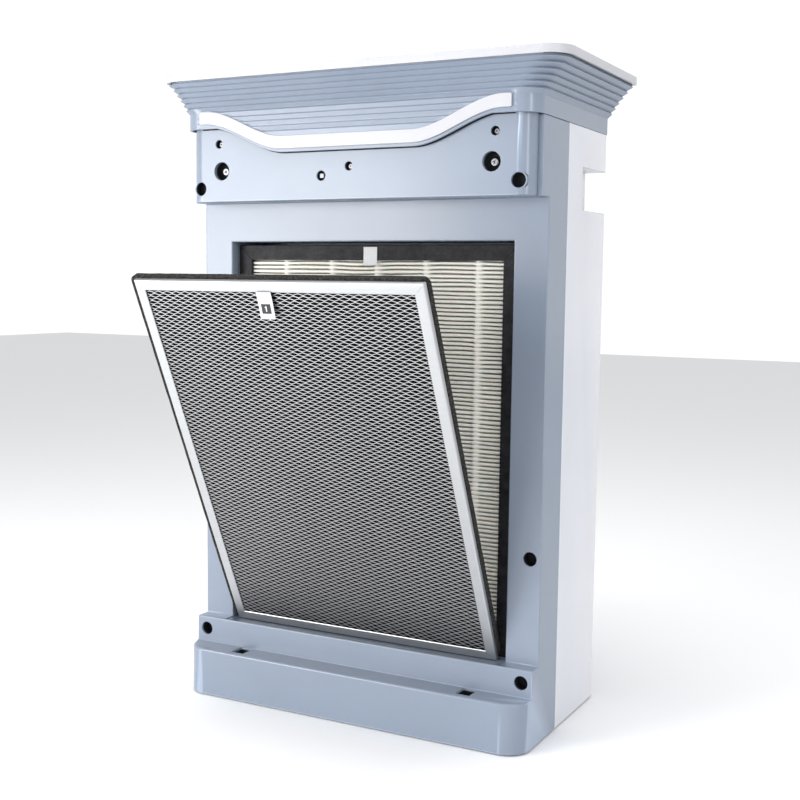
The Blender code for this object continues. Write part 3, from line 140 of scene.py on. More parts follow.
# ------------------------------------------------------------------ materials
class Maker:
    """Adds shader nodes to one material and links them."""

    def __init__(self, name):
        self.material = bpy.data.materials.new(name)
        self.material.use_nodes = True
        self.tree = self.material.node_tree
        self.shader = self.tree.nodes["Principled BSDF"]
        self.place = self.node("ShaderNodeTexCoord").outputs["Object"]

    def node(self, kind, **values):
        made = self.tree.nodes.new(kind)
        for key, value in values.items():
            setattr(made, key, value)
        return made

    def link(self, source, target):
        self.tree.links.new(source, target)

    def stretched(self, scale):
        mapping = self.node("ShaderNodeMapping")
        mapping.inputs["Scale"].default_value = scale
        self.link(self.place, mapping.inputs["Vector"])
        return mapping.outputs["Vector"]

    def noise(self, scale, detail=3.0, rough=0.55, at=None):
        made = self.node("ShaderNodeTexNoise")
        made.inputs["Scale"].default_value = scale
        made.inputs["Detail"].default_value = detail
        made.inputs["Roughness"].default_value = rough
        self.link(at or self.place, made.inputs["Vector"])
        return made.outputs["Fac"]

    def cells(self, scale, at=None, feature="F1"):
        made = self.node("ShaderNodeTexVoronoi", feature=feature)
        made.inputs["Scale"].default_value = scale
        self.link(at or self.place, made.inputs["Vector"])
        return made.outputs["Distance"]

    def ramp(self, factor, stops):
        made = self.node("ShaderNodeValToRGB")
        elements = made.color_ramp.elements
        while len(elements) < len(stops):
            elements.new(0.5)
        for element, (position, colour) in zip(elements, stops):
            element.position = position
            element.color = (*colour, 1)
        self.link(factor, made.inputs["Fac"])
        return made.outputs["Color"]

    def span(self, factor, low, high):
        made = self.node("ShaderNodeMapRange")
        made.inputs["To Min"].default_value = low
        made.inputs["To Max"].default_value = high
        self.link(factor, made.inputs["Value"])
        return made.outputs["Result"]

    def math(self, operation, first, second):
        made = self.node("ShaderNodeMath", operation=operation)
        for n, value in enumerate((first, second)):
            if isinstance(value, (int, float)):
                made.inputs[n].default_value = value
            else:
                self.link(value, made.inputs[n])
        return made.outputs[0]

    def bump(self, height, strength, distance):
        made = self.node("ShaderNodeBump")
        made.inputs["Strength"].default_value = strength
        made.inputs["Distance"].default_value = distance
        self.link(height, made.inputs["Height"])
        self.link(made.outputs["Normal"], self.shader.inputs["Normal"])

    def set(self, **values):
        for key, value in values.items():
            self.shader.inputs[key.replace("_", " ")].default_value = value


def tint(colour, share):
    return tuple(min(1.0, c * share) for c in colour)


def plastic(name, colour, rough=(0.22, 0.30), grain=2600.0, strength=0.05, change=0.03, level=0.5, edges=0.0):
    """Moulded plastic: faint clouding, a fine grain, and where edges is set, a painted highlight on sharp edges and
    painted shade in grooves.
    """
    m = Maker(name)
    cloud = m.noise(9.0, 4.0)
    base = m.ramp(cloud, [(0.3, tint(colour, 1 - change)), (0.7, tint(colour, 1 + change))])
    if edges:
        geometry = m.node("ShaderNodeNewGeometry")
        # painted highlight on sharp convex edges, then painted shade in concave grooves, both found from pointiness
        for stops, share, painted_tone in (
            ([(0.535, (0, 0, 0)), (0.62, (1, 1, 1))], edges, tint(colour, 1.9)),
            ([(0.40, (1, 1, 1)), (0.488, (0, 0, 0))], edges, tint(colour, 0.16)),
        ):
            mask = m.ramp(geometry.outputs["Pointiness"], stops)
            mix = m.node("ShaderNodeMix", data_type="RGBA")
            m.link(m.math("MULTIPLY", mask, share), mix.inputs["Factor"])
            m.link(base, mix.inputs["A"])
            mix.inputs["B"].default_value = (*painted_tone, 1)
            base = mix.outputs["Result"]
    m.link(base, m.shader.inputs["Base Color"])
    m.link(m.span(m.noise(55.0, 5.0), *rough), m.shader.inputs["Roughness"])
    m.bump(m.noise(grain, 2.0), strength, 0.0002)
    m.set(Specular_IOR_Level=level)
    return m.material


def metal(name, colour, rough=(0.22, 0.38), along=(6, 6, 600), strength=0.08):
    """Sheet metal with faint rolling lines and smudges."""
    m = Maker(name)
    lines = m.noise(1.0, 4.0, at=m.stretched(along))
    smudge = m.noise(40.0, 4.0)
    m.link(m.ramp(lines, [(0.3, tint(colour, 0.975)), (0.7, tint(colour, 1.02))]), m.shader.inputs["Base Color"])
    m.link(m.span(smudge, *rough), m.shader.inputs["Roughness"])
    m.bump(lines, strength, 0.0002)
    m.set(Metallic=1.0)
    return m.material


def foam(name, colour):
    """Open-cell foam: small dark pores in a matt skin."""
    m = Maker(name)
    pores = m.cells(620.0)
    m.link(m.ramp(pores, [(0.1, tint(colour, 0.2)), (0.45, colour), (0.8, tint(colour, 2.6))]),
           m.shader.inputs["Base Color"])
    m.link(m.span(m.noise(300.0), 0.85, 1.0), m.shader.inputs["Roughness"])
    m.bump(m.math("ADD", pores, m.noise(1800.0)), 0.9, 0.0008)
    m.set(Specular_IOR_Level=0.2)
    return m.material


def board(name, colour):
    """Black textured card or steel: a leathery grain."""
    m = Maker(name)
    grain = m.cells(520.0, feature="SMOOTH_F1")
    cloud = m.noise(120.0, 6.0, 0.7)
    m.link(m.ramp(cloud, [(0.38, tint(colour, 0.6)), (0.62, tint(colour, 2.6))]), m.shader.inputs["Base Color"])
    m.link(m.span(m.noise(90.0, 5.0), 0.40, 0.7), m.shader.inputs["Roughness"])
    m.bump(m.math("ADD", grain, m.noise(1500.0, 2.0)), 0.6, 0.0006)
    m.set(Specular_IOR_Level=0.28)
    return m.material


def paper(name, colour):
    """Filter paper: matted fibres, a little light through it."""
    m = Maker(name)
    fibres = m.noise(1.0, 6.0, 0.7, at=m.stretched((1500, 700, 2600)))
    cloud = m.noise(30.0, 3.0)
    m.link(m.ramp(cloud, [(0.3, tint(colour, 0.95)), (0.7, colour)]), m.shader.inputs["Base Color"])
    m.link(m.span(fibres, 0.85, 1.0), m.shader.inputs["Roughness"])
    m.bump(fibres, 0.35, 0.0003)
    m.set(Specular_IOR_Level=0.15, Subsurface_Weight=0.12, Subsurface_Scale=0.003)
    return m.material


def woven(name, colour, pitch=0.00045):
    """Narrow plain-woven ribbon."""
    m = Maker(name)
    threads = []
    for axis in ("X", "Z"):
        wave = m.node("ShaderNodeTexWave", wave_type="BANDS", bands_direction=axis)
        wave.inputs["Scale"].default_value = 1.0 / pitch / 20
        wave.inputs["Distortion"].default_value = 0.6
        m.link(m.place, wave.inputs["Vector"])
        threads.append(wave.outputs["Fac"])
    weave = m.math("MULTIPLY", *threads)
    m.link(m.ramp(weave, [(0.0, tint(colour, 0.95)), (0.6, colour)]), m.shader.inputs["Base Color"])
    m.link(m.span(weave, 0.95, 0.75), m.shader.inputs["Roughness"])
    m.bump(weave, 0.25, 0.0002)
    m.set(Sheen_Weight=0.25, Sheen_Roughness=0.5, Specular_IOR_Level=0.25)
    return m.material


def carbon(name):
    """Honeycomb filled with carbon grains."""
    m = Maker(name)
    grains = m.cells(700.0)
    colours = m.ramp(grains, [(0.0, (0.001, 0.001, 0.001)), (0.8, (0.007, 0.007, 0.0075))])
    m.link(colours, m.shader.inputs["Base Color"])
    m.link(m.span(grains, 0.55, 0.95), m.shader.inputs["Roughness"])
    m.bump(grains, 0.8, 0.001)
    m.set(Specular_IOR_Level=0.06)
    return m.material


def circuit(name):
    """Green board with lighter tracks."""
    m = Maker(name)
    tracks = m.node("ShaderNodeTexBrick")
    tracks.inputs["Scale"].default_value = 190.0
    tracks.inputs["Mortar Size"].default_value = 0.03
    tracks.inputs["Color1"].default_value = (0.010, 0.070, 0.030, 1)
    tracks.inputs["Color2"].default_value = (0.012, 0.085, 0.035, 1)
    tracks.inputs["Mortar"].default_value = (0.030, 0.160, 0.070, 1)
    m.link(m.place, tracks.inputs["Vector"])
    m.link(tracks.outputs["Color"], m.shader.inputs["Base Color"])
    m.link(m.span(m.noise(200.0), 0.3, 0.5), m.shader.inputs["Roughness"])
    m.bump(tracks.outputs["Fac"], 0.2, 0.0002)
    return m.material


GREY = (0.212, 0.252, 0.318)
WHITE = (0.60, 0.61, 0.655)
LOOKS = {
    "socket": plastic("socket_shadow", (0.012, 0.013, 0.016), (0.6, 0.75), change=0.1, level=0.2),
    # edges: strength of the painted highlight on sharp edges and painted shade in grooves
    "grey": plastic("grey_abs", GREY, (0.20, 0.28), edges=0.5),
    "crown": plastic("grey_abs_ribbed", GREY, (0.20, 0.28), edges=0.75),
    "grey_inside": plastic("grey_abs_inside", tint(GREY, 0.8), (0.35, 0.5)),
    "white": plastic("white_abs", WHITE, (0.20, 0.30), edges=0.15),
    "white_gloss": plastic("white_gloss", (0.475, 0.48, 0.505), (0.27, 0.30), strength=0.006, level=0.25),
    "white_inside": plastic("white_abs_inside", (0.70, 0.71, 0.72), (0.4, 0.55)),
    "key": plastic("key_abs", (0.62, 0.64, 0.67), (0.3, 0.4)),
    "black": plastic("black_abs", (0.018, 0.018, 0.019), (0.35, 0.5), change=0.1),
    "window": plastic("window_acrylic", (0.006, 0.006, 0.008), (0.03, 0.06), strength=0.0),
    "impeller": plastic("impeller_abs", (0.045, 0.046, 0.05), (0.4, 0.5), change=0.1),
    "rubber": plastic("foot_rubber", (0.014, 0.014, 0.014), (0.8, 0.95), strength=0.2, change=0.1),
    "cable": plastic("lead_pvc", (0.02, 0.02, 0.02), (0.4, 0.55), strength=0.03, change=0.1),
    "aluminium": metal("frame_aluminium", (0.55, 0.56, 0.575), (0.38, 0.48), (8, 8, 300), 0.03),
    "strand": metal("mesh_aluminium", (0.66, 0.66, 0.67), (0.34, 0.5), (60, 60, 60), 0.15),
    "steel": metal("screw_steel", (0.20, 0.20, 0.21), (0.26, 0.40), (300, 300, 300), 0.1),
    "zinc": metal("zinc_steel", (0.50, 0.50, 0.50), (0.3, 0.5), (40, 40, 40), 0.15),
    "bronze": metal("bush_bronze", (0.45, 0.29, 0.12), (0.3, 0.45), (90, 90, 90), 0.1),
    "black_board": board("filter_board", (0.008, 0.008, 0.010)),
    "foam": foam("seal_foam", (0.020, 0.019, 0.018)),
    "paper": paper("filter_paper", (0.86, 0.845, 0.78)),
    "ribbon": woven("pull_ribbon", (0.68, 0.685, 0.70)),
    "carbon": carbon("carbon_grains"),
    "circuit": circuit("circuit_board"),
    "print": plastic("tab_print", (0.022, 0.023, 0.026), (0.5, 0.65), strength=0.2),
}


def dress(item, look):
    item.data.materials.clear()
    item.data.materials.append(LOOKS[look])
    return item


# ------------------------------------------------------------------ mesh helpers
def new_piece(name, mesh, look, body, replaced=(), smooth=None):
    """A finished piece: link it, dress it, ride it on its body and hide the CAD nodes it replaces."""
    item = bpy.data.objects.new(name, mesh)
    bpy.context.scene.collection.objects.link(item)
    dress(item, look)
    if smooth is not None:
        shade(item, smooth)
    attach(item, body)
    if replaced:
        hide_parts(*replaced)
    return item


def shade(item, angle):
    """Smooth shading that keeps edges sharper than an angle."""
    mesh = item.data
    mesh.shade_smooth()
    bm = bmesh.new()
    bm.from_mesh(mesh)
    limit = math.radians(angle)
    for edge in bm.edges:
        if len(edge.link_faces) == 2 and edge.calc_face_angle(0.0) > limit:
            edge.smooth = False
    bm.to_mesh(mesh)
    bm.free()
    weighted = item.modifiers.new("weighted", "WEIGHTED_NORMAL")
    weighted.keep_sharp = True
    weighted.weight = 80


def mesh_of(name, verts, faces, recalc=True):
    mesh = bpy.data.meshes.new(name)
    mesh.from_pydata([tuple(v) for v in verts], [], faces)
    if recalc:
        bm = bmesh.new()
        bm.from_mesh(mesh)
        bmesh.ops.recalc_face_normals(bm, faces=bm.faces)
        bm.to_mesh(mesh)
        bm.free()
    return mesh


def grid_faces(rows, columns, wrap_rows=False, wrap_columns=False, first=0):
    """Quads between rows of points, each row holding the same number of columns."""
    faces = []
    for i in range(rows if wrap_rows else rows - 1):
        for j in range(columns if wrap_columns else columns - 1):
            a, b = i, (i + 1) % rows
            c, d = j, (j + 1) % columns
            faces.append(tuple(first + r * columns + s for r, s in ((a, c), (a, d), (b, d), (b, c))))
    return faces


def tube_faces(rings, around, first=0):
    """The sides and both ends of a tube made of rings of points."""
    last = first + (rings - 1) * around
    return [*grid_faces(rings, around, wrap_columns=True, first=first), tuple(range(first, first + around)),
            tuple(range(last, last + around))]


def ribbon_faces(rows, across):
    """Faces of a thin strip: each row of points runs across it, with a front and a back point at each place."""
    columns = 2 * across
    order = [2 * j for j in range(across)] + [2 * j + 1 for j in reversed(range(across))]
    faces = []
    for i in range(rows - 1):
        for n in range(columns):
            a, b = order[n], order[(n + 1) % columns]
            faces.append((i * columns + a, i * columns + b, (i + 1) * columns + b, (i + 1) * columns + a))
    return [*faces, tuple(order), tuple((rows - 1) * columns + n for n in order)]


MERGE_REACH = 0.00002
FLAT_ANGLE = math.radians(0.6)  # flatter joints between a CAD node's triangles are dissolved
EASED_ANGLE = math.radians(40)  # sharper edges are rounded
LONG_EDGE = 0.008
SHADOW_FACE_AREA = 0.0004  # larger faces are never cut for a hollow's shadow


def eased(node, look, body="housing", wide=0.0009, narrow=0.0004, keep=None, extra=None):
    """A CAD node's shape with its edges rounded: long edges by one radius, short ones by another, extra by its own."""
    bm = bmesh.new()
    bm.from_mesh(nodes[node].data)
    bmesh.ops.remove_doubles(bm, verts=bm.verts, dist=MERGE_REACH)
    bmesh.ops.dissolve_limit(bm, angle_limit=FLAT_ANGLE, verts=bm.verts, edges=bm.edges)
    rounds = [(wide, lambda e: e.calc_length() > LONG_EDGE), (narrow, lambda e: e.calc_length() <= LONG_EDGE)]
    if extra:
        rounds.insert(0, extra)
    for radius, test in rounds:
        if radius <= 0:
            continue
        chosen = [
            e for e in bm.edges
            if len(e.link_faces) == 2 and e.calc_face_angle(0.0) > EASED_ANGLE and test(e)
            and (keep is None or keep(e))
        ]
        bmesh.ops.bevel(bm, geom=chosen, offset=radius, segments=4, profile=0.5, affect="EDGES",
                        clamp_overlap=False)
    mesh = bpy.data.meshes.new(node + "_shape")
    bm.to_mesh(mesh)
    bm.free()
    return new_piece(node + "_shape", mesh, look, body, (node,), 31)


def darken(item, boxes):
    """Faces inside these boxes take the painted shadow of a hollow; faces that reach out of a box are cut at its mouth
    first.
    """
    item.data.materials.append(LOOKS["socket"])
    bm = bmesh.new()
    bm.from_mesh(item.data)
    for low, high, axis, cut_at in boxes:
        normal = Vector((0, 0, 0))
        normal[axis] = 1.0
        others = [n for n in range(3) if n != axis]

        def within(face):
            centre = face.calc_center_median()
            return all(low[n] < centre[n] < high[n] for n in others) and face.calc_area() < SHADOW_FACE_AREA

        near = [f for f in bm.faces if within(f)]
        geom = list(dict.fromkeys(g for f in near for g in (f, *f.edges, *f.verts)))
        at = Vector((0, 0, 0))
        at[axis] = cut_at
        bmesh.ops.bisect_plane(bm, geom=geom, plane_co=at, plane_no=normal, dist=0.00001)
        for face in bm.faces:
            centre = face.calc_center_median()
            if all(low[n] < centre[n] < high[n] for n in range(3)):
                face.material_index = 1
    bm.to_mesh(item.data)
    bm.free()


def rounded_box_outline(half_x, front, rear, front_radius, rear_radius, steps=14, along=1):
    """Plan points of a box with round corners, anticlockwise from the front right corner; along divides the front."""
    corners = [
        (half_x - front_radius, front + front_radius, front_radius, -90),
        (half_x - rear_radius, rear - rear_radius, rear_radius, 0),
        (-half_x + rear_radius, rear - rear_radius, rear_radius, 90),
        (-half_x + front_radius, front + front_radius, front_radius, 180),
    ]
    points = []
    for x, y, radius, first in corners:
        for i in range(steps + 1):
            angle = math.radians(first + 90 * i / steps)
            points.append((x + radius * math.cos(angle), y + radius * math.sin(angle)))
    start = points[-1]
    finish = points[0]
    for i in range(1, along):
        t = i / along
        points.append((start[0] + (finish[0] - start[0]) * t, start[1]))
    return points


# ------------------------------------------------------------------ crown
crown_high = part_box("crown")[1]
trim_low, trim_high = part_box("wave_trim")
rear_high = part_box("rear_housing")[1]
cover_low, cover_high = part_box("upper_cover")
SKIRT_HALF = 0.19075
SKIRT_FRONT = trim_high.y + 0.0003
SKIRT_REAR = rear_high.y
SKIRT_BOTTOM = rear_high.z + 0.0003
CROWN_TOP = crown_high.z
CROWN_SPREAD = crown_high.x - SKIRT_HALF
TRIM_HALF = trim_high.x
WAVE_TOP = trim_high.z
WAVE_DROP = 0.0269
WAVE_LOW_HALF = 0.070  # half the width of the wave's low middle
WAVE_RUN = 0.090  # the width of each rise beside it
TRIM_HEIGHT = 0.012
TRIM_ROUND = 0.0005
LIP = 0.0028
CROWN_WALL = 0.0025
RIB_FIRST = 0.6002
RIB_PITCH = 0.0051
RIB_RISER = 0.0018
RIB_DEPTH = 0.0016
RIB_SHARES = (0.174, 0.300, 0.433, 0.582, 0.742, 0.922, 0.95)
FRONT_RIB_FIRST = 0.5954
FRONT_RIB_PITCH = 0.0052
FRONT_RIB_COUNT = 5
FRONT_RIB_RISER = 0.0012
FRONT_RIB_DEPTH = 0.0013
FRONT_RIB_HALF = 0.1712
FRONT_RIB_RUNOUT = 0.006
RIB_TRIM_GAP = 0.0009  # between the trim and the ribs that stop above it
RIB_TRIM_RUNOUT = 0.0006
LOWEST_LEVEL = 0.5540
FINE_LEVEL_STEP = 0.00055
CORNICE_LEVELS = (-0.0020, -0.0010, -0.00025, 0.0, 0.00025, 0.0011, RIB_RISER - 0.0002, RIB_RISER, RIB_RISER + 0.0003)
FRONT_RIB_LEVELS = (-0.0002, 0.0, 0.0002, FRONT_RIB_RISER)
FLARE_START = 0.5960
FRONT_SHARE = 0.19
REAR_SHARE = 0.14


def clamp(value):
    return min(max(value, 0.0), 1.0)


def wave(x):
    """Height of the trim's upper edge."""
    t = clamp((abs(x) - WAVE_LOW_HALF) / WAVE_RUN)
    return WAVE_TOP - WAVE_DROP * (1.0 - t * t * (3.0 - 2.0 * t))


def cornice(z):
    """Share of the full flare at a height, and how far the rib there steps back."""
    if z <= RIB_FIRST:
        return RIB_SHARES[0] * clamp((z - FLARE_START) / (RIB_FIRST - FLARE_START)), 0.0
    n = min(int((z - RIB_FIRST) / RIB_PITCH), len(RIB_SHARES) - 2)
    d = z - RIB_FIRST - n * RIB_PITCH
    if d <= RIB_RISER:
        return RIB_SHARES[n], RIB_DEPTH * d / RIB_RISER
    t = (d - RIB_RISER) / (RIB_PITCH - RIB_RISER)
    return RIB_SHARES[n] + t * (RIB_SHARES[n + 1] - RIB_SHARES[n]), RIB_DEPTH * (1 - t)


def front_rib(z, x):
    """Depth of the fine ribs below the cornice, which run out at their ends and stop above the trim."""
    top = FRONT_RIB_FIRST
    if z > top + FRONT_RIB_RISER + 0.0030 or abs(x) > FRONT_RIB_HALF:
        return 0.0
    n = math.ceil((top - z) / FRONT_RIB_PITCH)
    d = z - top + n * FRONT_RIB_PITCH
    if n > FRONT_RIB_COUNT - 1:
        return 0.0
    if d <= FRONT_RIB_RISER:
        depth = FRONT_RIB_DEPTH * d / FRONT_RIB_RISER
    else:
        depth = FRONT_RIB_DEPTH * max(0.0, 1 - (d - FRONT_RIB_RISER) / (FRONT_RIB_PITCH - FRONT_RIB_RISER))
    ends = clamp((FRONT_RIB_HALF - abs(x)) / FRONT_RIB_RUNOUT)
    above = clamp((z - wave(x) - RIB_TRIM_GAP) / RIB_TRIM_RUNOUT) if abs(x) < TRIM_HALF + 0.001 else 1.0
    return depth * ends * above


def crown_levels():
    """Heights of the crown's rings of points, closer together at the ribs' edges."""
    levels = {round(FLARE_START, 5), round(CROWN_TOP, 5)}
    z = LOWEST_LEVEL
    while z < FLARE_START + 0.003:
        levels.add(round(z, 5))
        z += FINE_LEVEL_STEP
    for n in range(FRONT_RIB_COUNT):
        levels.update(round(FRONT_RIB_FIRST - n * FRONT_RIB_PITCH + d, 5) for d in FRONT_RIB_LEVELS)
    for n in range(len(RIB_SHARES) - 1):
        levels.update(round(RIB_FIRST + n * RIB_PITCH + d, 5) for d in CORNICE_LEVELS)
    ordered = sorted(z for z in levels if z <= CROWN_TOP)
    kept = [ordered[0]]
    for z in ordered[1:]:
        if z - kept[-1] > 0.00012:
            kept.append(z)
    kept[-1] = CROWN_TOP
    return kept


def crown_outline(z, columns=230, steps=16):
    share, back = cornice(z)
    step_back = back * 0.92
    return rounded_box_outline(
        SKIRT_HALF + CROWN_SPREAD * share - step_back, SKIRT_FRONT - CROWN_SPREAD * FRONT_SHARE * share + step_back,
        SKIRT_REAR + CROWN_SPREAD * REAR_SHARE * share, 0.020 + 0.004 * share, 0.004, steps, columns)


def crown_front_bottom(x):
    """Height of the crown's lower edge at the front, which follows the trim."""
    if abs(x) >= TRIM_HALF:
        return SKIRT_BOTTOM
    return min(SKIRT_BOTTOM, wave(x) - TRIM_HEIGHT - LIP)


def make_crown():
    """The flared cornice with its ribs, lofted level by level; its front edge dips with the wave."""
    foot = crown_outline(0.5)
    front_line = min(y for x, y in foot) + 0.00001
    is_front = [y <= front_line for x, y in foot]
    lows = [crown_front_bottom(x) if f else SKIRT_BOTTOM for (x, y), f in zip(foot, is_front)]
    outlines = {}

    def point(i, z):
        z = max(z, lows[i])
        key = round(z, 6)
        if key not in outlines:
            outlines[key] = crown_outline(z)
        x, y = outlines[key][i]
        if is_front[i]:
            y += front_rib(z, x)
        return (x, y, z)

    count = len(foot)
    rows = [[point(i, z) for i in range(count)] for z in crown_levels()]

    def inset_row(inset, rise):
        row = []
        for i, (x, y) in enumerate(foot):
            before, after = Vector(foot[i - 1]), Vector(foot[(i + 1) % count])
            along = (after - before).normalized()
            row.append((x - along.y * inset, y + along.x * inset, lows[i] + rise))
        return row

    wall = CROWN_WALL
    inner_foot = [(x, y, FLARE_START + 0.003) for x, y, z in inset_row(wall, 0)]
    inner_top = [(x * 0.985, y + (0.002 if y < 0 else -0.002), CROWN_TOP) for x, y in crown_outline(CROWN_TOP)]
    edge = [inset_row(0.0001, -0.00012), inset_row(0.0004, -0.0003), inset_row(wall - 0.0004, -0.0003),
            inset_row(wall - 0.0001, -0.0001), inset_row(wall, 0.0003)]
    rings = [*reversed(rows), *edge, inner_foot, inner_top]
    verts = [place for ring in rings for place in ring]
    mesh = mesh_of("crown_shape", verts, grid_faces(len(rings), count, wrap_rows=True, wrap_columns=True), False)
    bm = bmesh.new()
    bm.from_mesh(mesh)
    bmesh.ops.remove_doubles(bm, verts=bm.verts, dist=0.000004)
    bmesh.ops.recalc_face_normals(bm, faces=bm.faces)
    bm.to_mesh(mesh)
    bm.free()
    return new_piece("crown_shape", mesh, "crown", "housing", ("crown",), 28)


def make_crown_shadow_strip():
    """A thin dark strip in the shadow look along the joint between the crown's wavy edge and the cover below it:
    painted shadow under the crown's lip.
    """
    reach = cover_high.x - 0.0162  # short of the cover's rounded ends
    section = ((-0.00005, -0.0008), (-0.0005, -0.0010), (-0.0007, -0.0006), (-0.0007, 0.0010), (-0.00005, 0.0012))
    steps = 180
    verts = []
    for i in range(steps + 1):
        x = reach * (2 * i / steps - 1)
        verts += [(x, cover_low.y + dy, crown_front_bottom(x) + dz) for dy, dz in section]
    mesh = mesh_of("crown_shadow_strip", verts, tube_faces(steps + 1, len(section)))
    return new_piece("crown_shadow_strip", mesh, "socket", "housing", (), 40)


def make_wave_trim():
    """The white strip, its section's edges rounded, swept along the wave."""
    steps = 160
    back, r = trim_high.y, TRIM_ROUND
    verts = []
    for i in range(steps + 1):
        x = TRIM_HALF * (2 * i / steps - 1)
        end = r if i in (0, steps) else 0.0
        front, top, bottom = trim_low.y + end / 2, wave(x) - end, wave(x) - TRIM_HEIGHT + end
        section = (
            (back, bottom), (front + r, bottom), (front + r * 0.3, bottom + r * 0.3), (front, bottom + r),
            (front, top - r), (front + r * 0.3, top - r * 0.3), (front + r, top), (back, top),
        )
        verts += [(x, y, z) for y, z in section]
    mesh = mesh_of("wave_trim_shape", verts, tube_faces(steps + 1, len(section)))
    return new_piece("wave_trim_shape", mesh, "white_gloss", "housing", ("wave_trim",), 40)


# ------------------------------------------------------------------ frames and filters
def mitred_frame(name, section, half, low, high, gap=0.00012):
    """Four bars with 45 degree ends round a rectangle; section points are (inset from the outer edge, y)."""
    verts, faces = [], []
    for bar in range(4):
        ends = []
        for side in (-1, 1):
            ring = []
            for inset, y in section:
                if bar in (0, 2):
                    z = low + inset if bar == 0 else high - inset
                    ring.append((side * (half - inset - gap), y, z))
                else:
                    x = half - inset if bar == 1 else -half + inset
                    middle = (low + high) / 2
                    ring.append((x, y, middle + side * ((high - low) / 2 - inset - gap)))
            ends.append(ring)
        faces += tube_faces(2, len(section), len(verts))
        verts.extend(ends[0] + ends[1])
    return mesh_of(name, verts, faces)


def ring_of_section(name, section, half, low, high, radius, steps=8, jitter=0.0, along=24):
    """A closed section swept round a rectangle with round corners."""
    corners = [(half - radius, low + radius, -90), (half - radius, high - radius, 0),
               (-half + radius, high - radius, 90), (-half + radius, low + radius, 180)]
    path = []
    for x, z, first in corners:
        for i in range(steps + 1):
            angle = math.radians(first + 90 * i / steps)
            path.append((x, z, math.cos(angle), math.sin(angle)))
    full = []
    for n, (x, z, cx, cz) in enumerate(path):
        full.append((x, z, cx, cz))
        nx, nz, ncx, ncz = path[(n + 1) % len(path)]
        if (n + 1) % (steps + 1) == 0:
            for i in range(1, along):
                t = i / along
                full.append((x + (nx - x) * t, z + (nz - z) * t, cx, cz))
    verts = []
    for x, z, cx, cz in full:
        for inset, y in section:
            reach = radius - inset
            place = Vector((x + cx * reach, y, z + cz * reach))
            if jitter:
                place += noise.noise_vector(place * 90) * jitter + noise.noise_vector(place * 420) * jitter * 0.4
            verts.append(place)
    faces = grid_faces(len(full), len(section), wrap_rows=True, wrap_columns=True)
    return mesh_of(name, verts, faces)


tilt = joints["prefilter_tilt"]
PIVOT = Vector(tilt["pos_m"])
LEAN = math.radians(-min(tilt["range_deg"]))
LEANED = Matrix.Translation(PIVOT) @ Matrix.Rotation(LEAN, 4, "X") @ Matrix.Translation(-PIVOT)
frame_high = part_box("prefilter_frame")[1]
foam_low, foam_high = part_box("prefilter_foam")
PF_HALF = frame_high.x
PF_LOW = PIVOT.z
PF_FRONT = PIVOT.y
PF_METAL = 0.0050
PF_BORDER = 0.0100
PF_THICK = 0.0120
PF_HIGH = PF_LOW + (frame_high.z - PF_LOW - math.sin(LEAN) * PF_METAL) / math.cos(LEAN)
FOAM_HALF = (foam_high.x - foam_low.x) / 2
FOAM_MIDDLE = (foam_high.x + foam_low.x) / 2
FOAM_HIGH = PF_LOW + (foam_high.z - PF_LOW - math.sin(LEAN) * PF_THICK) / math.cos(LEAN)


def leaned(mesh):
    mesh.transform(LEANED)
    return mesh


MESH_LONG_WAY = 0.00985
MESH_SHORT_WAY = 0.00474
STRAND_WIDTH = 0.00056
STRAND_THICKNESS = 0.00035
STRAND_TWIST = 0.00005
ALTERNATE_STEP = 0.0001  # every second row of strands lies this much further forward


def expanded_metal(name, half, low, high, y):
    """Expanded metal: rows of zigzag strands that meet at the bonds, each strand twisted a little."""
    verts, faces = [], []
    columns = int(2 * half / (MESH_LONG_WAY / 2))
    points = 2 * columns + 1
    step = 2 * half / columns
    rows = int((high - low) / (MESH_SHORT_WAY / 2))
    rise = (high - low) / rows
    for k in range(rows):
        first = len(verts)
        for i in range(points):
            x = -half + i * step / 2
            t = i / 2
            fold = abs(((t + (k % 2)) % 2) - 1)
            bend = 0.5 - 0.5 * math.cos(fold * math.pi)
            z = low + (k + 0.16 + 0.68 * (0.35 * bend + 0.65 * fold)) * rise
            going = 1 if int(t + (k % 2)) % 2 == 0 else -1
            at_bond = abs(2 * abs(fold - 0.5))
            lean = STRAND_TWIST * (1 - at_bond) * going
            half_w = STRAND_WIDTH * (0.43 + 0.17 * at_bond)
            for dy, dz in ((-STRAND_THICKNESS, -half_w), (-STRAND_THICKNESS, half_w), (0, half_w), (0, -half_w)):
                twist = lean * (1 if dz > 0 else -1)
                verts.append((x, y + dy + twist - ALTERNATE_STEP * (k % 2), z + dz))
        faces += tube_faces(points, 4, first)
    return mesh_of(name, verts, faces)


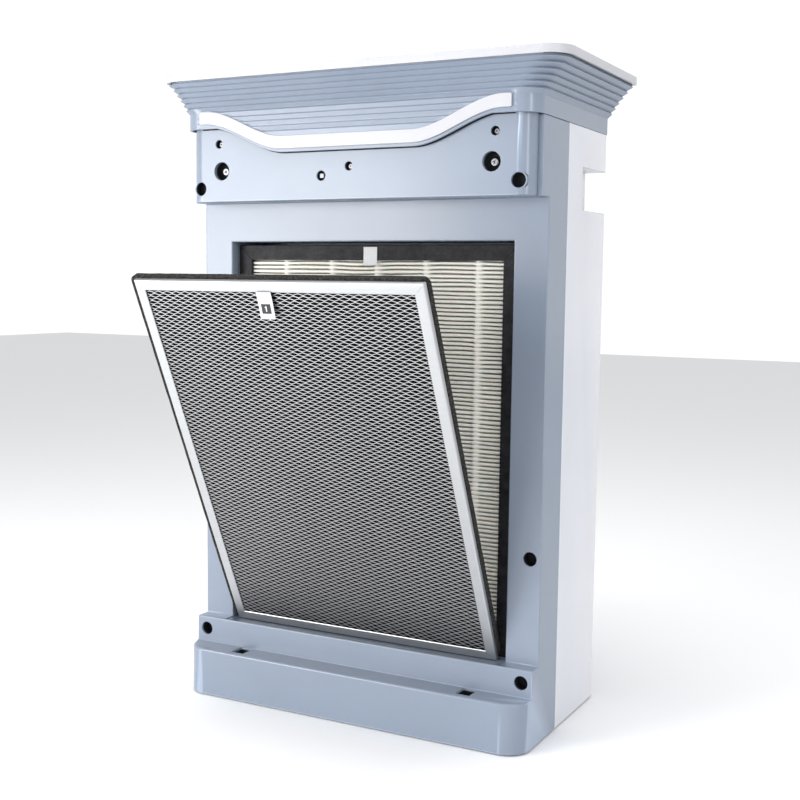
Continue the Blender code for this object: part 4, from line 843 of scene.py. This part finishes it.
def make_prefilter():
    f, b = PF_FRONT, PF_BORDER
    section = [
        (0.0003, f + PF_METAL), (0.0, f + PF_METAL - 0.0003), (0.0, f + 0.0012), (0.0002, f + 0.0005),
        (0.0006, f + 0.0001), (0.0013, f), (b - 0.0009, f), (b - 0.0003, f + 0.0002), (b, f + 0.0006),
        (b - 0.0003, f + 0.0009), (b - 0.0009, f + 0.0008), (0.0016, f + 0.00075), (0.0010, f + 0.0014),
        (0.0010, f + PF_METAL - 0.0002),
    ]
    new_piece("prefilter_frame_bars", leaned(mitred_frame("prefilter_frame_bars", section, PF_HALF, PF_LOW, PF_HIGH)),
              "aluminium", "prefilter", ("prefilter_frame",), 50)
    mesh = expanded_metal("prefilter_strands", PF_HALF - b + 0.0016, PF_LOW + b - 0.0016, PF_HIGH - b + 0.0016,
                          f + 0.0021)
    new_piece("prefilter_strands", leaned(mesh), "strand", "prefilter", ("prefilter_mesh",), 50)
    inset = b + 0.0004
    mesh = expanded_metal("prefilter_rear_strands", PF_HALF - inset, PF_LOW + inset, PF_HIGH - inset,
                          f + PF_THICK - 0.0002)
    new_piece("prefilter_rear_strands", leaned(mesh), "zinc", "prefilter", ("prefilter_rear_mesh",), 50)
    front, back = f + PF_METAL + 0.0003, f + PF_THICK
    e = 0.0010
    inner = FOAM_HALF - PF_HALF + PF_BORDER - 0.0030
    section = [
        (0.0, front + e), (0.0, back - e), (0.0003, back - 0.0003), (e, back), (inner - e, back),
        (inner - 0.0003, back - 0.0003), (inner, back - e), (inner, front + e), (inner - 0.0003, front + 0.0003),
        (inner - e, front), (e, front), (0.0003, front + 0.0003),
    ]
    mesh = ring_of_section("prefilter_seal", section, FOAM_HALF, PF_LOW, FOAM_HIGH, 0.0060, jitter=0.00022, along=90)
    mesh.transform(Matrix.Translation((FOAM_MIDDLE, 0, 0)))
    seal = new_piece("prefilter_seal", leaned(mesh), "foam", "prefilter", ("prefilter_foam",), 60)


RIBBON_THICKNESS = 0.0005
RIBBON_CROWN = 0.00025  # how far a ribbon's middle stands out from its edges
RIBBON_GAP = 0.0004
PRINT_GAP = 0.00026  # from a ribbon's middle plane to what is printed on it
TAB_CURL = 0.0022
HEPA_TAB_CURL = 0.0003


def ribbon_mesh(name, width, path):
    """A flat ribbon of a width along x that follows (y, z) points; returns a thin solid."""
    steps = 8
    verts = []
    count = len(path)
    for i, (y, z) in enumerate(path):
        before, after = Vector(path[max(i - 1, 0)]), Vector(path[min(i + 1, count - 1)])
        along = (after - before).normalized()
        out = Vector((along.y, -along.x)) * RIBBON_THICKNESS / 2
        for j in range(steps + 1):
            x = width * (j / steps - 0.5)
            crown = RIBBON_CROWN * (1 - (2 * j / steps - 1) ** 2)
            for sign in (1, -1):
                verts.append((x, y + out.x * sign - crown, z + out.y * sign))
    return mesh_of(name, verts, ribbon_faces(count, steps + 1))


def make_tabs():
    tab_low, tab_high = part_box("prefilter_tab")
    width = tab_high.x - tab_low.x
    middle = (tab_high.x + tab_low.x) / 2
    top = PF_HIGH - PF_BORDER + 0.001
    length = (tab_high.z - tab_low.z) / math.cos(LEAN) - 0.0006
    y = PF_FRONT - 0.0007

    def hanging(t):
        """(y, z) on the ribbon at a share of its length."""
        return y - RIBBON_GAP - TAB_CURL * t * t, top - length * t * 0.997

    mesh = ribbon_mesh("prefilter_pull", width, [hanging(i / 16) for i in range(17)])
    mesh.transform(Matrix.Translation((middle, 0, 0)))
    pull = new_piece("prefilter_pull", leaned(mesh), "ribbon", "prefilter", ("prefilter_tab",), 60)

    def printed(name, points, depth, low, high, look):
        """A thin printed patch that follows the ribbon from one share of its length to another, at these x."""
        rows = 10
        verts = []
        for i in range(rows + 1):
            at_y, at_z = hanging(low + (high - low) * i / rows)
            for x in points:
                crown = RIBBON_CROWN * (1 - (2 * x / width) ** 2)
                for lift in (0.0, depth):
                    verts.append((x + middle, at_y - PRINT_GAP - lift - crown, at_z))
        mesh = mesh_of(name, verts, ribbon_faces(rows + 1, len(points)))
        return new_piece(name, leaned(mesh), look, "prefilter", (), 60)

    square = printed("tab_patch", [0.0048 * (n / 6 * 2 - 1) for n in range(7)], 0.00004, 0.44, 0.80, "print")
    digit = printed("tab_digit", [-0.0006, 0.0006], 0.00008, 0.52, 0.72, "ribbon")
    flag = printed("tab_digit_flag", [-0.0014, -0.0006], 0.00008, 0.55, 0.58, "ribbon")


hepa_low, hepa_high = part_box("hepa_frame")
HEPA_BORDER = 0.015
BEADS = (-0.1010, -0.0472, 0.0046, 0.0579, 0.1132)  # x of the glue lines across the pleats
BEAD_LEFT, BEAD_RIGHT = 0.0036, 0.0052  # their reach on each side
PLEAT = 0.00405
PLEAT_DEPTH = 0.0120
PLEAT_COLUMNS = 190
PLEAT_INSET = 0.0008  # the media's edge runs this far under the frame
PLEAT_PROFILE = (  # share of the pitch, share of the depth
    (0.0, 0.03), (0.08, 0.0), (0.17, 0.01), (0.27, 0.05), (0.34, 0.16), (0.41, 0.6), (0.46, 0.97), (0.5, 1.0),
    (0.54, 0.97), (0.59, 0.6), (0.66, 0.16), (0.73, 0.05), (0.83, 0.01), (0.92, 0.0),
)


def make_boards():
    f, back, b, e = hepa_low.y, hepa_high.y, HEPA_BORDER, 0.0009
    section = [
        (e, f), (0.3 * e, f + 0.3 * e), (0, f + e), (0, back - e), (e, back), (b - e, back), (b, back - e),
        (b, f + e), (b - 0.3 * e, f + 0.3 * e), (b - e, f),
    ]
    mesh = mitred_frame("hepa_boards", section, hepa_high.x, hepa_low.z, hepa_high.z, 0.00025)
    new_piece("hepa_boards", mesh, "black_board", "hepa_filter", ("hepa_frame",), 40)


def glue_fill(x):
    """How much of a pleat's depth the glue takes up here, from 0 to 1."""
    fill = 0.0
    for bead in BEADS:
        d = x - bead
        reach = BEAD_LEFT if d < 0 else BEAD_RIGHT
        if abs(d) < reach:
            fill = max(fill, 1 - (abs(d) / reach) ** 3)
    return fill


def make_pleats():
    """The pleated paper: wavy folds, nearly filled along the glue lines, closed into a solid behind."""
    inset = HEPA_BORDER - PLEAT_INSET
    half = hepa_high.x - inset
    low, high = hepa_low.z + inset, hepa_high.z - inset
    front = hepa_low.y + 0.0034
    count = round((high - low) / PLEAT)
    pitch = (high - low) / count
    rows = [(k * pitch + share * pitch, deep) for k in range(count) for share, deep in PLEAT_PROFILE]
    rows.append((count * pitch, 0.0))
    verts = []
    for dz, deep in rows:
        for i in range(PLEAT_COLUMNS + 1):
            x = -half + 2 * half * i / PLEAT_COLUMNS
            fill = glue_fill(x)
            sway = noise.noise(Vector((x * 26, dz * 130, 1.7))) * 0.00075
            sway += noise.noise(Vector((x * 7, dz * 9, 5.1))) * 0.0011
            sway *= 1 - 0.85 * fill
            z = low + dz + sway
            y = front + PLEAT_DEPTH * deep * (1 - 0.93 * fill) - 0.0008 * fill
            y += noise.noise(Vector((x * 40, dz * 110, 9.3))) * 0.0005
            verts.append((x, y, min(max(z, low), high)))
    n = PLEAT_COLUMNS + 1
    faces = grid_faces(len(rows), n)
    first = len(verts)
    back = hepa_high.y - 0.0025
    for x, z in ((-half, low), (half, low), (half, high), (-half, high)):
        verts.append((x, back, z))
    faces.append((*range(n), first + 1, first))
    faces.append((*[len(rows) * n - 1 - i for i in range(n)], first + 3, first + 2))
    faces.append((*[i * n for i in reversed(range(len(rows)))], first, first + 3))
    faces.append((*[i * n + n - 1 for i in range(len(rows))], first + 2, first + 1))
    faces.append((first, first + 1, first + 2, first + 3))
    mesh = mesh_of("hepa_pleats", verts, faces)
    new_piece("hepa_pleats", mesh, "paper", "hepa_filter", ("hepa_media",), 75)


def make_hepa_seal():
    low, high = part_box("hepa_gasket")
    front, rear, w, e = low.y, high.y, 0.010, 0.0007
    section = [(e, front), (0, front + e), (0, rear - e), (e, rear), (w - e, rear), (w, rear - e), (w, front + e),
               (w - e, front)]
    mesh = ring_of_section("hepa_seal", section, high.x, low.z, high.z, 0.004, steps=4, jitter=0.0001, along=60)
    seal = new_piece("hepa_seal", mesh, "foam", "hepa_filter", ("hepa_gasket",), 60)


def make_hepa_tab():
    low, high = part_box("hepa_tab")
    width, length = high.x - low.x, high.z - low.z
    path = [(high.y - RIBBON_GAP - HEPA_TAB_CURL * (i / 16) ** 2.2, high.z - length * (i / 16) * 0.985)
            for i in range(17)]
    pull = new_piece("hepa_pull", ribbon_mesh("hepa_pull", width, path), "ribbon", "hepa_filter",
                     ("hepa_tab",), 60)


# ------------------------------------------------------------------ screws
SCREWS = ("cover_screw_left", "cover_screw_right", "panel_screw_left", "panel_screw_right", "panel_screw_middle")
SCREW_STEPS = 40
DOME_STEPS = 8
RECESS_TURNS = (18, -31)  # degrees, for screws right and left of the middle
RECESS_LENGTH = (0.55, 1.15)  # of half the head, at the bottom and at the mouth
RECESS_WIDTH = (0.16, 0.24)
RECESS_DEPTH = 0.85  # of the head's thickness


def screw_body(name, centre, head, thick, front, length):
    """A turned pan head and its shank; returns an object."""
    profile = []
    for i in range(1, DOME_STEPS + 1):
        angle = math.pi / 2 * i / DOME_STEPS
        profile.append((head * (0.55 + 0.45 * math.sin(angle)), thick * 0.62 * (1 - math.cos(angle))))
    profile += [(head, thick * 0.8), (head * 0.97, thick), (head * 0.44, thick), (head * 0.44, length - 0.0006),
                (head * 0.3, length)]
    bm = bmesh.new()
    rings = []
    for r, d in profile:
        turns = [2 * math.pi * k / SCREW_STEPS for k in range(SCREW_STEPS)]
        rings.append([bm.verts.new((centre.x + r * math.cos(a), front + d, centre.z + r * math.sin(a))) for a in turns])
    for a, b in zip(rings, rings[1:]):
        for k in range(SCREW_STEPS):
            following = (k + 1) % SCREW_STEPS
            bm.faces.new((a[k], a[following], b[following], b[k]))
    bm.faces.new(list(reversed(rings[0])))
    bm.faces.new(rings[-1])
    bmesh.ops.recalc_face_normals(bm, faces=bm.faces)
    mesh = bpy.data.meshes.new(name)
    bm.to_mesh(mesh)
    bm.free()
    item = bpy.data.objects.new(name, mesh)
    bpy.context.scene.collection.objects.link(item)
    return item


def recess_tool(centre, head, thick, front):
    """Two crossed blocks, narrower at the bottom; returns an object."""
    bm = bmesh.new()
    turn = Matrix.Rotation(math.radians(RECESS_TURNS[0] if centre.x > 0 else RECESS_TURNS[1]), 4, "Y")
    for angle in (0, 90):
        spin = Matrix.Rotation(math.radians(angle), 4, "Y")
        for v in bmesh.ops.create_cube(bm, size=1.0)["verts"]:
            end = 0 if v.co.y > 0 else 1
            v.co.x *= head * RECESS_LENGTH[end]
            v.co.z *= head * RECESS_WIDTH[end]
            v.co.y *= 2 * thick * RECESS_DEPTH
            v.co = Matrix.Translation(Vector((centre.x, front, centre.z))) @ turn @ spin @ v.co
    mesh = bpy.data.meshes.new("recess")
    bm.to_mesh(mesh)
    bm.free()
    tool = bpy.data.objects.new("recess", mesh)
    bpy.context.scene.collection.objects.link(tool)
    return tool


def make_screw(node):
    """Pan-head screw with a cross recess, in the place of its CAD node."""
    low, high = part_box(node)
    centre, front = (low + high) / 2, low.y
    head = (high.x - low.x) / 2
    thick = head * 0.6
    item = screw_body(node + "_head", centre, head, thick, front, high.y - front)
    tool = recess_tool(centre, head, thick, front)
    cut = item.modifiers.new("recess", "BOOLEAN")
    cut.object = tool
    cut.solver = "EXACT"
    cut.use_self = True
    shaped = bpy.data.meshes.new_from_object(item.evaluated_get(bpy.context.evaluated_depsgraph_get()))
    item.modifiers.clear()
    item.data = shaped
    bpy.data.objects.remove(tool)
    dress(item, "steel")
    shade(item, 38)
    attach(item, "housing")
    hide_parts(node)


# ------------------------------------------------------------------ everything
SHADOW_START = 0.0035  # the strip at a hollow's mouth that keeps its own colour
SHADOW_GROW = 0.0027
SHADOW_BEHIND = 0.004
SHADOW_BELOW = 0.003
COVER_WELL = (0.0100, 0.0040)  # reach round the screw, start of the shadow
PANEL_WELL = (0.0055, 0.0016)
WELL_DEPTH = 0.030
SILL_LOW = (-0.1575, -0.0145, 0.0735)
SILL_HIGH = (0.1575, 0.0127, 0.0765)
PLINTH_TOP = 0.0495
PLINTH_FRONT = -0.0165
PLINTH_SLOTS = (0.118, 0.138)  # from the middle
PLINTH_ROUND = 0.0024


def hollow_boxes(*words):
    """Boxes round the record's openings with one of these words in their names, less a strip at the mouth."""
    found = []
    for opening in frame["record"]["physics"]["openings"]:
        if not any(word in opening["name"] for word in words):
            continue
        low, high = (Vector(corner) for corner in opening["box_m"])
        grow = Vector((SHADOW_GROW, SHADOW_GROW, SHADOW_GROW))
        if "slot" in opening["name"]:
            axis, cut_at = 2, high.z - SHADOW_START
            low, high = low - grow, high + grow
            low.z, high.z = low.z + SHADOW_GROW - SHADOW_BELOW, cut_at
        else:
            axis, cut_at = 1, low.y + SHADOW_START
            low, high = low - grow, high + grow
            low.y, high.y = cut_at, high.y - SHADOW_GROW + SHADOW_BEHIND
        found.append((low, high, axis, cut_at))
    return found


def make_housings():
    slot_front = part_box("front_housing")[0].y + 0.003

    def crisp(edge):
        """Leaves the shallow sill's small steps sharp."""
        middle = (edge.verts[0].co + edge.verts[1].co) / 2
        return not all(low < place < high for low, place, high in zip(SILL_LOW, middle, SILL_HIGH))

    def plinth_edge(edge):
        """The plinth's front upper edge, which has a wider round, but not the slots in it."""
        ends = [v.co for v in edge.verts]
        return all(abs(p.z - PLINTH_TOP) < 0.0003 and p.y < PLINTH_FRONT for p in ends) and not any(
            PLINTH_SLOTS[0] < abs(p.x) < PLINTH_SLOTS[1] and p.y > slot_front for p in ends)

    front = eased("front_housing", "grey", wide=0.0012, narrow=0.0004, keep=crisp,
                  extra=(PLINTH_ROUND, plinth_edge))
    # painted shadow inside the ledge and face sockets and the plinth's slots
    darken(front, hollow_boxes("ledge_socket", "face_socket", "plinth_slot"))
    cover = eased("upper_cover", "grey", wide=0.0009, narrow=0.0004)
    # painted shadow inside the upper sockets and in the wells round the screws and the switch plunger
    wells = []
    for name in (*SCREWS, "switch_plunger"):
        low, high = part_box(name)
        middle = (low + high) / 2
        around, start = COVER_WELL if name.startswith("cover") else PANEL_WELL
        reach = Vector((around, 0, around))
        cut_at = cover_low.y + start
        wells.append((Vector((middle.x, cut_at, middle.z)) - reach,
                      Vector((middle.x, cover_low.y + WELL_DEPTH, middle.z)) + reach, 1, cut_at))
    darken(cover, hollow_boxes("upper_socket") + wells)
    eased("rear_housing", "white", wide=0.0012, narrow=0.0005)
    eased("top_plate", "white_gloss", wide=0.0012, narrow=0.0003)
    eased("outlet_grille", "white", wide=0.0005, narrow=0.0003)
    eased("display_window", "window", wide=0.0003, narrow=0.0)
    eased("switch_plunger", "white_gloss", body="plunger_body", wide=0.0003, narrow=0.0003)


CAD_LOOKS = {
    "base_plate": "grey_inside", "carbon_core": "carbon", "control_board": "circuit", "control_lead": "cable",
    "door_switch": "black", "fan_cover": "white_inside", "fan_scroll": "white_inside", "filter_bay": "grey_inside",
    "foot_front_left": "rubber", "foot_front_right": "rubber", "foot_rear_left": "rubber", "foot_rear_right": "rubber",
    "impeller": "impeller", "impeller_nut": "steel", "intake_guard": "grey_inside", "ioniser": "white_inside",
    "ioniser_key": "key", "mains_inlet": "black", "motor_body": "zinc", "motor_bracket": "zinc",
    "motor_bush": "bronze", "motor_lead": "cable", "motor_shaft": "steel", "power_board": "circuit",
    "power_key": "key", "sleep_key": "key", "speed_key": "key", "timer_key": "key",
}

make_camera()
make_floor()
make_light()
make_crown()
make_crown_shadow_strip()
make_wave_trim()
make_housings()
make_prefilter()
make_tabs()
make_boards()
make_pleats()
make_hepa_seal()
make_hepa_tab()
for screw in SCREWS:
    make_screw(screw)
for node, look in CAD_LOOKS.items():
    dress(nodes[node], look)
